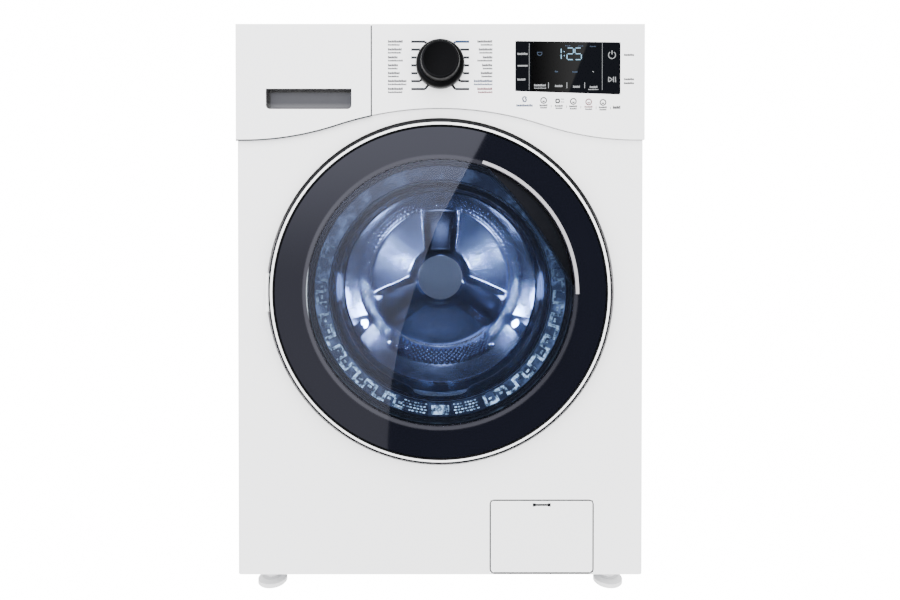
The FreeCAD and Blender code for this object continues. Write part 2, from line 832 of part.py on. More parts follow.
def in_cup_corner(edge, low):
    """True for an edge at one of the drawer handle's two lower corners, on the handle's own hollow."""
    point = edge.CenterOfMass
    sides = (number("cup_left"), number("cup_right"))
    return abs(point.z - low) < 0.01 and any(abs(point.x - side) < 0.01 for side in sides)


# --------------------------------------------------------------------------- door
def crescent(name, grow, back, front):
    """The finger pocket as a solid: a disc less a larger disc that lies across it."""
    outer, arch = f"(grip_radius + ({grow}))", f"(grip_arch - ({grow}))"
    middle, half = "(grip_start + grip_end) / 2", "((grip_end - grip_start) / 2 * 1 deg)"
    chord = f"(grip_radius * sin({half}))"
    away = f"-(sqrt(grip_arch * grip_arch - {chord} * {chord}) - grip_radius * cos({half}))"
    disc = bar(f"{name}_disc", outer, f"({back}) - ({front})", "0", front, "drum_height", ALONG_Y)
    x, z = polar(middle, away)
    across = bar(f"{name}_across", arch, f"({back}) - ({front}) + 2", x, f"({front}) - 1", z, ALONG_Y)
    return cut_away(name, disc, across)


def door():
    cover = new_body("door_cover_glass")
    turned_y(
        cover,
        [
            ("door_front + 4", "0"),
            ("door_front + 4", "ring_inner - 0.3"),
            ("door_front + 1", "ring_inner - 0.3"),
            ("door_front", "ring_inner - 1.3"),
            ("door_front", "0"),
        ],
    )
    pocket = crescent("glass_crescent", "0", "door_front + 5", "door_front - 1")
    keep(cut_away("cover_glass_cut", cover, pocket), "door_cover_glass")

    ring = new_body("door_ring")
    turned_y(
        ring,
        [
            ("frame_front - 0.1", "ring_inner"),
            ("door_front + 1.5", "ring_inner"),
            ("door_front + 0.3", "ring_inner + 1.2"),
            ("door_front", "ring_inner + 2.6"),
            ("door_front + 0.4", "ring_outer - 2"),
            ("door_front + 1.8", "ring_outer - 0.5"),
            ("door_front + 3", "ring_outer"),
            ("frame_front - 0.1", "ring_outer"),
        ],
    )
    keep(ring, "door_ring")

    frame = new_body("door_front_frame")
    turned_y(
        frame,
        [
            ("frame_front", "frame_inner"),
            ("frame_front", "frame_outer"),
            ("frame_back", "frame_outer"),
            ("frame_back", "frame_outer - 3"),
            ("frame_front + 3", "frame_outer - 3"),
            ("frame_front + 3", "frame_inner + 3"),
            ("frame_back", "frame_inner + 3"),
            ("frame_back", "frame_inner"),
        ],
    )
    cut_y(
        frame,
        rectangle("hinge_x - 5", "hinge_x + 42", "drum_height - 34", "drum_height + 34"),
        "frame_back + 1",
        "hinge_y - 4.2",
    )
    clearance = crescent("frame_crescent", "2.6", "frame_back + 1", "frame_front - 1")
    keep(cut_away("front_frame_cut", frame, clearance), "door_front_frame")

    cup_wall = crescent("cup_wall", "2.2", "frame_back - 0.3", "door_front + 4.3")
    cup_hollow = crescent("cup_hollow", "0", "frame_back - 2", "door_front - 1")
    keep(cut_away("grip_cup_cut", cup_wall, cup_hollow), "door_grip_cup")

    rear = new_body("door_rear_frame")
    rim_front, rim_back = "frame_back + 0.2", "rear_frame_back"
    turned_y(
        rear,
        [
            (rim_front, "bowl_rim + 1"),
            (rim_front, "rear_frame_outer"),
            (f"{rim_back} - 2", "rear_frame_outer"),
            (rim_back, "rear_frame_outer - 2"),
            (rim_back, "rear_frame_inner"),
            (f"{rim_back} - 3", "rear_frame_inner"),
            (f"{rim_back} - 3", "bowl_rim + 1"),
        ],
    )
    notch = rectangle("hinge_x - 5", "hinge_x + 56", "drum_height - 34", "drum_height + 34")
    cut_y(rear, notch, f"{rim_back} + 1", f"{rim_front} - 1")
    hook_slot = rectangle("206", "234", "drum_height - 11", "drum_height + 11")
    cut_y(rear, hook_slot, f"{rim_back} + 1", f"{rim_front} - 1")
    keep(rear, "door_rear_frame")

    bowl = new_body("door_glass_bowl")
    flange_front, flange_back = "rear_frame_back - 8.2", "rear_frame_back - 3.2"
    turned_y(
        bowl,
        [
            (flange_front, "bowl_rim"),
            (flange_back, "bowl_rim"),
            (flange_back, "163"),
            ("-236", "158"),
            ("-200", "147"),
            ("-172", "126"),
            ("-156", "102"),
            ("-148", "72"),
            ("-146", "0"),
            ("-150", "0"),
            ("-152", "71"),
            ("-160", "99"),
            ("-175", "122"),
            ("-202", "142.5"),
            ("-238", "153.5"),
            (flange_front, "159"),
        ],
    )
    keep(bowl, "door_glass_bowl")

    strip = new_body("door_handle_strip")
    half = "strip_width / 2"
    outer, inner = f"strip_radius + {half}", f"strip_radius - {half}"
    slab_y(
        strip,
        [
            (*polar("strip_start", outer), outer, 1),
            polar("strip_end", outer),
            (*polar("strip_end", inner), inner, -1),
            polar("strip_start", inner),
        ],
        "door_front - 0.05",
        "door_front - 1.6",
    )
    keep(strip, "door_handle_strip")

    hinge = new_body("door_hinge_leaf")
    low, high = "drum_height - 16", "drum_height + 16"
    disc_z(hinge, "hinge_x", "hinge_y", "3.8", low, high)
    slab_z(hinge, rectangle("hinge_x", "hinge_x + 41.5", "hinge_y - 1.5", "hinge_y + 1.5"), low, high)
    drill_z(hinge, "hinge_x", "hinge_y", "hinge_pin + running_gap", f"{low} - 1", f"{high} + 1")
    keep(hinge, "door_hinge_leaf")

    bracket = new_body("door_hinge_bracket")
    plate_front = "recess_floor - 3.1"
    slab_z(
        bracket,
        rectangle("hinge_x + 4.5", "hinge_x + 52", plate_front, "recess_floor - 0.1"),
        "drum_height - 28",
        "drum_height + 28",
    )
    arm = [
        ("hinge_x - 1.9", "hinge_y"),
        ("hinge_x + 2.2", "hinge_y"),
        ("hinge_x + 2.2", "frame_back + 1"),
        ("hinge_x + 8", "frame_back + 5"),
        ("hinge_x + 10", "recess_floor - 2"),
        ("hinge_x + 4.6", "recess_floor - 2"),
        ("hinge_x + 1.6", "frame_back + 5"),
        ("hinge_x - 1", "frame_back + 1"),
    ]
    for low, high in (("drum_height + 16.3", "drum_height + 28"), ("drum_height - 28", "drum_height - 16.3")):
        slab_z(bracket, arm, low, high)
        disc_z(bracket, "hinge_x", "hinge_y", "3.8", low, high)
    disc_z(bracket, "hinge_x", "hinge_y", "hinge_pin", "drum_height - 27", "drum_height + 27")
    keep(bracket, "door_hinge_bracket")

    hook = new_body("latch_hook")
    slab_z(
        hook,
        [
            ("212", "-256"),
            ("222", "-256"),
            ("222", "-231"),
            ("228", "-231"),
            ("228", "-227"),
            ("222", "-222"),
            ("216", "-222"),
            ("212", "-240"),
        ],
        "drum_height - 5",
        "drum_height + 5",
    )
    disc_z(hook, "217", "-254", "3.5", "drum_height - 5", "drum_height + 5")
    disc_z(hook, "217", "-254", "1.5", "drum_height - 9", "drum_height + 9")
    keep(hook, "latch_hook")

    lock = new_body("door_lock")
    lock_front, lock_back = "recess_floor + sheet + 0.3", "recess_floor + 33"
    slab_y(
        lock,
        rectangle("200", "240", "drum_height - 40", "drum_height + 30"),
        lock_back,
        lock_front,
    )
    cut_y(
        lock,
        rectangle("207", "235", "drum_height - 12", "drum_height + 12"),
        f"{lock_back} - 4",
        f"{lock_front} - 1",
    )
    keep(lock, "door_lock")


def gasket():
    body = new_body("door_gasket")
    turned_y(
        body,
        [
            ("recess_floor - 1.2", "port_radius - 10"),
            ("recess_floor - 1.2", "port_radius + 3"),
            ("recess_floor - 0.1", "port_radius + 3"),
            ("recess_floor - 0.1", "port_radius - 0.3"),
            ("recess_floor + 9", "port_radius - 0.3"),
            ("recess_floor + 9", "port_radius - 5"),
            ("recess_floor + 21", "port_radius - 2"),
            ("recess_floor + 24", "port_radius + 1"),
            ("recess_floor + 27", "port_radius - 2"),
            ("tub_front - 11", "tub_mouth - 4.3"),
            ("tub_front + 3", "tub_mouth - 4.3"),
            ("tub_front + 3", "tub_mouth - 9"),
            ("tub_front - 13", "tub_mouth - 9.5"),
            ("recess_floor + 20", "port_radius - 12"),
            ("recess_floor + 4", "port_radius - 11"),
        ],
    )
    keep(body, "door_gasket")

    clamp = new_body("gasket_clamp")
    turned_y(
        clamp,
        [
            ("tub_front - 6", "tub_mouth + 0.1"),
            ("tub_front - 6", "tub_mouth + 2.5"),
            ("tub_front - 1", "tub_mouth + 2.5"),
            ("tub_front - 1", "tub_mouth + 0.1"),
        ],
    )
    keep(clamp, "gasket_clamp")


# --------------------------------------------------------------------------- drum
def drum():
    shell = new_body("drum_shell")
    skin = "drum_radius - drum_sheet"
    turned_y(
        shell,
        [
            ("drum_front + 14", "drum_radius"),
            ("cone_start", "drum_radius"),
            ("cone_start", skin),
            ("drum_front + 14 + drum_sheet", skin),
            ("drum_front + 4 + drum_sheet", "drum_mouth + 26"),
            ("drum_front + drum_sheet", "drum_mouth + 12"),
            ("drum_front + drum_sheet", "drum_mouth + 2"),
            ("drum_front + 8", "drum_mouth + drum_sheet"),
            ("drum_front + 8", "drum_mouth"),
            ("drum_front + 0.6", "drum_mouth + 1"),
            ("drum_front", "drum_mouth + 2"),
            ("drum_front", "drum_mouth + 12"),
            ("drum_front + 4", "drum_mouth + 26"),
        ],
    )
    keep(shell, "drum_shell")

    back = new_body("drum_back")
    turned_y(
        back,
        [
            ("cone_start + 0.1", "drum_radius"),
            ("cone_start + 0.1", skin),
            ("cone_end", "back_radius"),
            ("cone_end + 4", "back_radius - 8"),
            ("cone_end + 4", "hub_radius + 14"),
            ("cone_end - 8", "hub_radius"),
            ("cone_end - 8", "0"),
            ("cone_end - 8 + drum_sheet", "0"),
            ("cone_end - 8 + drum_sheet", "hub_radius - 1"),
            ("cone_end + 4 + drum_sheet", "hub_radius + 13"),
            ("cone_end + 4 + drum_sheet", "back_radius - 7"),
            ("cone_end + drum_sheet", "back_radius + 1"),
            ("cone_start + 1.5", "drum_radius"),
        ],
    )
    keep(back, "drum_back")

    lifters = []
    for count in range(3):
        body = new_body(f"lifter_{count}")
        side = sketch(body, "YZ_Plane", out="-24")
        outline(
            side,
            [
                ("drum_front + 34", f"{skin} - 3.2"),
                ("cone_start - 5", f"{skin} - 3.2"),
                ("cone_start - 5", f"{skin} - lifter_height"),
                ("cone_start - 40", f"{skin} - lifter_height - 2"),
                ("drum_front + 60", f"{skin} - 58"),
            ],
        )
        wedge = padded(body, side, "48")
        # slope both flanks so that the lifter is narrow at its crest
        for hand in (1, -1):
            flank = sketch(body, "XZ_Plane", out="-(cone_start + 5)")
            crest = f"{skin} - lifter_height - 10"
            points = [
                (f"{hand * 24.5}", f"{skin} - 14"),
                (f"{hand * 6}", crest),
                (f"{hand * 30}", crest),
            ]
            slope = body.newObject("PartDesign::Pocket", "Flank")
            slope.Profile = outline(flank, points)
            bind(slope, "Length", "cone_start - drum_front + 60")
            slope.Reversed = True
        body.Placement = Placement(Vector(), Rotation(Vector(0, 1, 0), 120 * count))
        bind(body, "Placement.Base.z", "drum_height")
        lifters.append(body)
    keep(group("lifters_group", *lifters), "drum_lifters")

    arms = []
    for count in range(3):
        body = new_body(f"spider_arm_{count}")
        side = sketch(body, "YZ_Plane", out="-15")
        outline(
            side,
            [
                ("cone_end + 8", "20"),
                ("cone_end + 8", "back_radius"),
                ("cone_start + 8", "drum_radius - 3"),
                ("cone_start + 8", "drum_radius"),
                ("cone_start + 24", "drum_radius"),
                ("cone_end + 26", "back_radius - 20"),
                ("cone_end + 34", "20"),
            ],
        )
        padded(body, side, "30")
        body.Placement = Placement(Vector(), Rotation(Vector(0, 1, 0), 120 * count))
        bind(body, "Placement.Base.z", "drum_height")
        arms.append(body)
    boss = new_body("spider_boss")
    turned_y(
        boss,
        [
            ("cone_end - 6", "0"),
            ("cone_end - 6", "hub_radius - 4"),
            ("cone_end + 2", "hub_radius - 4"),
            ("cone_end + 12", "38"),
            ("cone_end + 34", "38"),
            ("cone_end + 34", "0"),
        ],
    )
    bore = bar(
        "spider_bore", "shaft_front_radius", "60", "0", "cone_end + 4", "drum_height", ALONG_Y
    )
    keep(cut_away("spider_cut", fused("spider_fuse", boss, *arms), bore), "drum_spider")

    shaft = new_body("drum_shaft")
    turned_y(
        shaft,
        [
            ("cone_end + 4.2", "0"),
            ("cone_end + 4.2", "shaft_front_radius - 0.05"),
            ("tub_rear + 12", "shaft_front_radius - 0.05"),
            ("tub_rear + 12", "shaft_rear_radius - 0.05"),
            ("belt_front - 3", "shaft_rear_radius - 0.05"),
            ("belt_front - 3", "9.9"),
            ("belt_back + 10", "9.9"),
            ("belt_back + 10", "0"),
        ],
    )
    keep(shaft, "drum_shaft")

    pulley = new_body("drum_pulley")
    turned_y(
        pulley,
        [
            ("belt_front - 2.5", "10"),
            ("belt_front - 2.5", "24"),
            ("belt_front + 4", "24"),
            ("belt_front + 4", "pulley_radius - 9"),
            ("belt_front - 2", "pulley_radius - 9"),
            ("belt_front - 2", "pulley_radius + 3"),
            ("belt_front - 0.4", "pulley_radius + 3"),
            ("belt_front - 0.4", "pulley_radius"),
            ("belt_back + 0.4", "pulley_radius"),
            ("belt_back + 0.4", "pulley_radius + 3"),
            ("belt_back + 2", "pulley_radius + 3"),
            ("belt_back + 2", "pulley_radius - 9"),
            ("belt_back - 4", "pulley_radius - 9"),
            ("belt_back - 4", "24"),
            ("belt_back + 4", "24"),
            ("belt_back + 4", "10"),
        ],
    )
    # windows between the spokes
    half_turn = 27
    for count in range(5):
        angle = 90 + 72 * count
        low, high = f"{angle - half_turn}", f"{angle + half_turn}"
        outer, inner = "pulley_radius - 18", "40"
        points = [
            (*polar(low, outer), outer, 1),
            polar(high, outer),
            (*polar(high, inner), inner, -1),
            polar(low, inner),
        ]
        cut_y(pulley, points, "belt_back", "belt_front - 3")
    keep(pulley, "drum_pulley")


# --------------------------------------------------------------------------- tub
def tub():
    front = new_body("tub_front")
    wall = "tub_wall"
    joint_y = "tub_joint"
    turned_y(
        front,
        [
            ("tub_front - 10", "tub_mouth - 4"),
            ("tub_front - 10", "tub_mouth"),
            ("tub_front", "tub_mouth"),
            ("tub_front", "tub_radius"),
            (f"{joint_y} - 8", "tub_radius"),
            (f"{joint_y} - 8", "tub_radius + 10"),
            (f"{joint_y} - 0.1", "tub_radius + 10"),
            (f"{joint_y} - 0.1", f"tub_radius - {wall}"),
            (f"tub_front + {wall}", f"tub_radius - {wall}"),
            (f"tub_front + {wall}", "tub_mouth - 4"),
        ],
    )
    keep(front, "tub_front")

    rear = new_body("tub_rear")
    turned_y(
        rear,
        [
            (f"{joint_y} + 0.1", f"tub_radius - {wall}"),
            (f"{joint_y} + 0.1", "tub_radius + 10"),
            (f"{joint_y} + 8", "tub_radius + 10"),
            (f"{joint_y} + 8", "tub_radius"),
            ("tub_rear - 30", "tub_radius"),
            ("tub_rear", "tub_radius - 50"),
            ("tub_rear", "bearing_front_outer + 12"),
            ("tub_rear + 42", "bearing_rear_outer + 10"),
            ("tub_rear + 42", "shaft_rear_radius + 4"),
            ("tub_rear + 38", "shaft_rear_radius + 4"),
            ("tub_rear + 38", "bearing_rear_outer"),
            ("tub_rear + 23", "bearing_rear_outer"),
            ("tub_rear + 23", "shaft_front_radius + 3"),
            ("tub_rear + 8", "shaft_front_radius + 3"),
            ("tub_rear + 8", "bearing_front_outer"),
            ("tub_rear - 8", "bearing_front_outer"),
            ("tub_rear - 8", "bearing_front_outer + 8"),
            (f"tub_rear - {wall}", "bearing_front_outer + 10"),
            (f"tub_rear - {wall}", f"tub_radius - 50 - {wall}"),
            (f"tub_rear - 30 - {wall} / 2", f"tub_radius - {wall}"),
        ],
    )
    for side in (-1, 1):
        # ear that the spring pulls on, and the root that joins it to the tub
        points = [
            (f"{side} * 150", "spring_low - 14"),
            (f"{side} * (spring_x + 8)", "spring_low - 14"),
            (f"{side} * (spring_x + 8)", "spring_low + 1.8"),
            (f"{side} * 150", "spring_low + 6"),
        ]
        made = sketch(rear, "XZ_Plane", out="-(spring_y + 16)")
        ear = padded(rear, outline(made, points), "32")
        ear.Reversed = False
        # lug that carries the damper rod
        slab_z(
            rear,
            rectangle(f"{side} * damper_x - 13", f"{side} * damper_x + 13", "damper_y - 12", "damper_y + 12"),
            "drum_height - tub_radius + 22",
            "drum_height - tub_radius + 42",
        )
    # the motor's two hangers
    for side in (-1, 1):
        slab_z(
            rear,
            rectangle(f"{side} * (motor_radius + 6.2) - 6", f"{side} * (motor_radius + 6.2) + 6", "70", "150"),
            "motor_height - 10",
            "drum_height - tub_radius + 12",
        )
    clear = bar("tub_clear", "tub_radius - tub_wall", "tub_rear - 38", "0", "0", "drum_height", ALONG_Y)
    keep(cut_away("tub_rear_cut", rear, clear), "tub_rear")

    weight = new_body("front_counterweight")
    low, high = "198", "342"
    outer, inner = "tub_radius - 8", "tub_mouth + 14"
    slab_y(
        weight,
        [
            (*polar(low, outer), outer, 1),
            polar(high, outer),
            (*polar(high, inner), inner, -1),
            polar(low, inner),
        ],
        "tub_front - 0.2",
        "tub_front - 28",
    )
    keep(weight, "front_counterweight")

    block_top = new_body("top_counterweight")
    slab_y(
        block_top,
        [
            ("-84", "drum_height + tub_radius - 12"),
            ("-84", "drum_height + tub_radius + 48"),
            ("125", "drum_height + tub_radius + 48"),
            ("125", "drum_height + tub_radius - 12"),
        ],
        "150",
        "10",
    )
    hollow = bar("tub_seat", "tub_radius + 0.2", "160", "0", "0", "drum_height", ALONG_Y)
    keep(cut_away("top_counterweight_cut", block_top, hollow), "top_counterweight")

    rings = []
    for name, low, high, inner, outer in (
        ("front_bearing", "tub_rear - 7.9", "tub_rear + 7.9", "shaft_front_radius", "bearing_front_outer - 0.02"),
        ("rear_bearing", "tub_rear + 23.1", "tub_rear + 37.9", "shaft_rear_radius", "bearing_rear_outer - 0.02"),
    ):
        ring = new_body(name)
        turned_y(ring, [(low, inner), (low, outer), (high, outer), (high, inner)])
        rings.append(ring)
    keep(group("bearings_group", *rings), "drum_bearings")

    rods = []
    for count, x in enumerate(("-22", "22")):
        start = "tub_front + tub_wall + 0.3"
        rods.append(bar(f"heater_rod_{count}", "3.2", "190", x, start, "drum_height - 241.2", ALONG_Y))
    keep(group("heater_group", *rods), "tub_heater")


# --------------------------------------------------------------------------- drive
def belt_loop(extra):
    """The belt's outline round both pulleys, grown outwards by extra."""
    big, small = f"(pulley_radius + 0.2 + {extra})", f"(motor_pulley_radius + 0.2 + {extra})"
    span = "(drum_height - motor_height)"
    sine = "((pulley_radius - motor_pulley_radius) / (drum_height - motor_height))"
    cosine = f"sqrt(1 - {sine} * {sine})"
    return [
        (f"{big} * {cosine}", f"drum_height - {big} * {sine}", big, 1),
        ("0", f"drum_height + {big}", big, 1),
        (f"-{big} * {cosine}", f"drum_height - {big} * {sine}"),
        (f"-{small} * {cosine}", f"drum_height - {span} - {small} * {sine}", small, 1),
        (f"{small} * {cosine}", f"drum_height - {span} - {small} * {sine}"),
    ]


def drive():
    belt = new_body("drive_belt")
    slab_y(belt, belt_loop("belt_thickness"), "belt_back", "belt_front")
    cut_y(belt, belt_loop("0"), "belt_back + 1", "belt_front - 1")
    keep(belt, "drive_belt")

    can = new_body("motor_housing")
    turned_y(
        can,
        [
            ("60", "7.05"),
            ("60", "motor_radius - 12"),
            ("66", "motor_radius"),
            ("208", "motor_radius"),
            ("216", "motor_radius - 14"),
            ("216", "7.05"),
            ("209", "7.05"),
            ("209", "32"),
            ("67", "32"),
            ("67", "7.05"),
        ],
        z="motor_height",
    )
    keep(can, "motor_housing")

    rotor = new_body("motor_rotor")
    turned_y(
        rotor,
        [
            ("56", "0"),
            ("56", "7"),
            ("80", "7"),
            ("80", "31"),
            ("196", "31"),
            ("196", "7"),
            ("belt_front - 2", "7"),
            ("belt_front - 2", "motor_pulley_radius + 3"),
            ("belt_front - 0.4", "motor_pulley_radius + 3"),
            ("belt_front - 0.4", "motor_pulley_radius"),
            ("belt_back + 0.4", "motor_pulley_radius"),
            ("belt_back + 0.4", "motor_pulley_radius + 3"),
            ("belt_back + 2", "motor_pulley_radius + 3"),
            ("belt_back + 2", "0"),
        ],
        z="motor_height",
    )
    keep(rotor, "motor_rotor")


# --------------------------------------------------------------------------- suspension
def suspension():
    sides = (("left", "-"), ("right", ""))
    cylinders, rods, springs, brackets = [], [], [], []
    seat = "base_height + 8"
    for name, sign in sides:
        x = f"{sign}damper_x"
        tube = bar(f"{name}_damper_tube", "damper_radius", "96", x, "damper_y", f"{seat} + 0.2")
        bore = bar(f"{name}_damper_bore", "damper_rod + running_gap", "90", x, "damper_y", f"{seat} + 10")
        cylinders.append(cut_away(f"{name}_damper", tube, bore))
        lug = "drum_height - tub_radius + 22"
        length = f"({lug}) - 0.2 - ({seat} + 30)"
        rods.append(bar(f"{name}_damper_rod", "damper_rod", length, x, "damper_y", f"{seat} + 30"))
        helix = doc.addObject("Part::Helix", f"{name}_spring_line")
        bind(helix, "Radius", "spring_radius")
        bind(helix, "Pitch", "(spring_high - spring_low - 8.5) / 14")
        bind(helix, "Height", "spring_high - spring_low - 8.5")
        bind(helix, "Placement.Base.x", f"{sign}spring_x")
        bind(helix, "Placement.Base.y", "spring_y")
        bind(helix, "Placement.Base.z", "spring_low + 4.5")
        ring = doc.addObject("Part::Circle", f"{name}_spring_section")
        bind(ring, "Radius", "spring_wire")
        ring.Placement = Placement(Vector(), Rotation(Vector(1, 0, 0), 90))
        bind(ring, "Placement.Base.x", f"{sign}spring_x + spring_radius")
        bind(ring, "Placement.Base.y", "spring_y")
        bind(ring, "Placement.Base.z", "spring_low + 4.5")
        coil = doc.addObject("Part::Sweep", f"{name}_spring_coil")
        coil.Sections = [ring]
        doc.recompute()
        coil.Spine = (helix, ["Edge1"])
        coil.Solid = True
        coil.Frenet = True
        springs.append(coil)
        inner, outer = f"{sign}(spring_x - 14)", f"{sign}(body_width / 2 - sheet - 0.2)"
        low, high = (outer, inner) if sign else (inner, outer)
        brackets.append(
            block(
                f"{name}_bracket", low, high, "spring_y - 18", "spring_y + 18", "spring_high + 0.4", "spring_high + 10"
            )
        )
    keep(group("damper_cylinders_group", *cylinders), "damper_cylinders")
    keep(group("damper_rods_group", *rods), "damper_rods")
    keep(group("springs_group", *springs), "suspension_springs")
    keep(group("brackets_group", *brackets), "spring_brackets")


# --------------------------------------------------------------------------- water
def hose(name, route, bend, outer, inner, spigot=0):
    """A hose along straight runs joined by tangent arcs. It can end in a collar and a wider spigot."""
    edges = []
    start = route[0]
    for before, corner, after in zip(route, route[1:], route[2:]):
        inward = (corner - before).normalize()
        outward = (after - corner).normalize()
        turn = inward.getAngle(outward)
        reach = bend * math.tan(turn / 2)
        arc_start = corner - inward * reach
        arc_end = corner + outward * reach
        middle_way = (outward - inward).normalize()
        middle = corner + middle_way * (bend / math.cos(turn / 2) - bend)
        edges.append(Part.LineSegment(start, arc_start).toShape())
        edges.append(Part.Arc(arc_start, middle, arc_end).toShape())
        start = arc_end
    edges.append(Part.LineSegment(start, route[-1]).toShape())
    path = Part.Wire(edges)
    heading = (route[1] - route[0]).normalize()
    tubes = []
    for radius in (outer, inner):
        ring = Part.Wire([Part.Circle(route[0], heading, radius).toShape()])
        tubes.append(path.makePipeShell([ring], True, False))
    made = doc.addObject("Part::Feature", f"{name}_tube")
    body = tubes[0]
    if spigot:
        start = route[-1] - Vector(0, spigot, 0)
        body = body.fuse(Part.makeCylinder(outer + 1, spigot, start, Vector(0, 1, 0)))
        body = body.fuse(Part.makeCylinder(outer + 3, 2.5, start, Vector(0, 1, 0)))
    made.Shape = body.cut(tubes[1])
    keep(made, name)


def water():
    valve = new_body("inlet_valve")
    slab_y(
        valve,
        rectangle("valve_x - 22", "valve_x + 22", "valve_height - 16", "valve_height + 16"),
        "rear_face - 2 * sheet - 1",
        "rear_face - 42",
    )
    disc_y(valve, "valve_x", "valve_height", "valve_thread", "rear_reach", "rear_face - 8")
    drill_y(valve, "valve_x", "valve_height", "8", "rear_reach + 1", "rear_face - 6")
    disc_y(valve, "valve_x", "valve_height", "7", "rear_face - 40", "rear_face - 60")
    slab_z(
        valve,
        rectangle("valve_x + 6", "valve_x + 20", "rear_face - 40", "rear_face - 14"),
        "valve_height - 40",
        "valve_height - 15",
    )
    keep(valve, "inlet_valve")

    tube_back, tube_front = "rear_face - 46", "tray_back + 8 + moulding + 1"
    pipe = bar(
        "inlet_pipe", "9.5", f"({tube_back}) - ({tube_front})", "valve_x", tube_front, "valve_height", ALONG_Y
    )
    pipe_bore = bar(
        "inlet_bore", "7.1", f"({tube_back}) - ({tube_front}) + 2", "valve_x", f"{tube_front} - 1", "valve_height",
        ALONG_Y,
    )
    keep(cut_away("inlet_hose_cut", pipe, pipe_bore), "inlet_hose")

    pump = new_body("pump_housing")
    turned_y(
        pump,
        [
            ("-240", "filter_radius - 3"),
            ("-240", "filter_radius + 3"),
            ("-234", "filter_radius + 3"),
            ("-234", "filter_radius"),
            ("-140", "filter_radius"),
            ("-140", "filter_radius + 5"),
            ("-112", "filter_radius + 5"),
            ("-112", "27"),
            ("-52", "27"),
            ("-52", "3.05"),
            ("-116", "3.05"),
            ("-116", "filter_radius - 3"),
        ],
        x="filter_x",
        z="filter_height",
    )
    # outlet at the top, inlet at the side
    disc_z(pump, "filter_x", "-128", "12", "filter_height + filter_radius", "filter_height + filter_radius + 24")
    drill_z(
        pump, "filter_x", "-128", "9", "filter_height + filter_radius - 6", "filter_height + filter_radius + 25"
    )
    keep(pump, "pump_housing")

    wheel = new_body("pump_impeller")
    turned_y(
        wheel,
        [("-134", "0"), ("-134", "6"), ("-122", "6"), ("-122", "22"), ("-119", "22"), ("-119", "3"), ("-60", "3"),
         ("-60", "0")],
        x="filter_x",
        z="filter_height",
    )
    for points in (
        rectangle("filter_x - 21", "filter_x + 21", "filter_height - 1.5", "filter_height + 1.5"),
        rectangle("filter_x - 1.5", "filter_x + 1.5", "filter_height - 21", "filter_height + 21"),
    ):
        slab_y(wheel, points, "-121", "-134")
    keep(wheel, "pump_impeller")

    cap = new_body("filter_cap")
    turned_y(
        cap,
        [
            ("-241", "0"),
            ("-241", "filter_radius + 2"),
            ("-247", "filter_radius + 2"),
            ("-249", "filter_radius"),
            ("-249", "0"),
        ],
        x="filter_x",
        z="filter_height",
    )
    disc_y(cap, "filter_x", "filter_height", "filter_radius - 3.05", "-228", "-242")
    slab_y(
        cap,
        rectangle("filter_x - 26", "filter_x + 26", "filter_height - 4", "filter_height + 4"),
        "-248",
        "-260",
    )
    slab_y(
        cap,
        rectangle("filter_x - 22", "filter_x + 22", "filter_height - 2", "filter_height + 2"),
        "-150",
        "-229",
    )
    slab_y(
        cap,
        rectangle("filter_x - 2", "filter_x + 2", "filter_height - 22", "filter_height + 22"),
        "-150",
        "-229",
    )
    keep(cap, "filter_cap")

    flap = new_body("flap_plate")
    plate = slab_y(
        flap,
        rectangle("flap_left", "flap_right", "flap_low + flap_pivot", "flap_high"),
        "front_face + 2",
        "front_face - 0.2",
    )
    rounded(flap, plate, "flap_corner", upright_to_y)
    middle = "(flap_left + flap_right) / 2"
    slot_z = "flap_high - flap_slot_drop"
    cut_y(
        flap,
        [
            (f"{middle} - 12.5", f"{slot_z} - 2.4"),
            (f"{middle} - 9", f"{slot_z} - 2.4"),
            (f"{middle} - 9", f"{slot_z} - 1.4"),
            (f"{middle} + 9", f"{slot_z} - 1.4"),
            (f"{middle} + 9", f"{slot_z} - 2.4"),
            (f"{middle} + 12.5", f"{slot_z} - 2.4"),
            (f"{middle} + 12.5", f"{slot_z} + 2.4"),
            (f"{middle} + 9", f"{slot_z} + 2.4"),
            (f"{middle} + 9", f"{slot_z} + 1.4"),
            (f"{middle} - 9", f"{slot_z} + 1.4"),
            (f"{middle} - 9", f"{slot_z} + 2.4"),
            (f"{middle} - 12.5", f"{slot_z} + 2.4"),
        ],
        "front_face + 5",
        "front_face - 1",
    )
    barrel = bar(
        "flap_barrel", "flap_pivot", "flap_right - flap_left - 8", "flap_left + 4", "front_face + 0.9",
        "flap_low + flap_pivot", ALONG_X,
    )
    keep(fused("flap_on_barrel", flap, barrel), "filter_flap")

    z_low = number("filter_height")
    hose(
        "sump_hose",
        [
            Vector(60, -170, number("drum_height - tub_radius - 7.2")),
            Vector(60, -170, z_low),
            Vector(number("filter_x - filter_radius - 0.5"), -170, z_low),
        ],
        30,
        15,
        12,
    )
    rise = number("filter_height + filter_radius + 24.2")
    riser_x, riser_top, back = number("drain_x"), number("drain_height"), number("rear_reach")
    hose(
        "drain_hose",
        [
            Vector(number("filter_x"), -128, rise),
            Vector(number("filter_x"), -128, rise + 34),
            Vector(riser_x, -128, rise + 34),
            Vector(riser_x, -128, riser_top),
            Vector(riser_x, back, riser_top),
        ],
        24,
        number("drain_radius - 1"),
        8,
        number("rear_reach - rear_face - 1"),
    )


# --------------------------------------------------------------------------- build
side_panels()
front_panel()
worktop()
rear_panels()
base_pan()
feet()
console()
knob()
drawer()
door()
gasket()
drum()
tub()
drive()
suspension()
water()
doc.recompute()

failed = [o.Name for o in doc.Objects if "Invalid" in o.State or "Error" in o.State]
for part in PARTS:
    if part.Shape.isNull() or not part.Shape.isValid() or not part.Shape.Solids:
        failed.append(part.Label)
if failed:
    raise RuntimeError(f"these failed: {failed}")

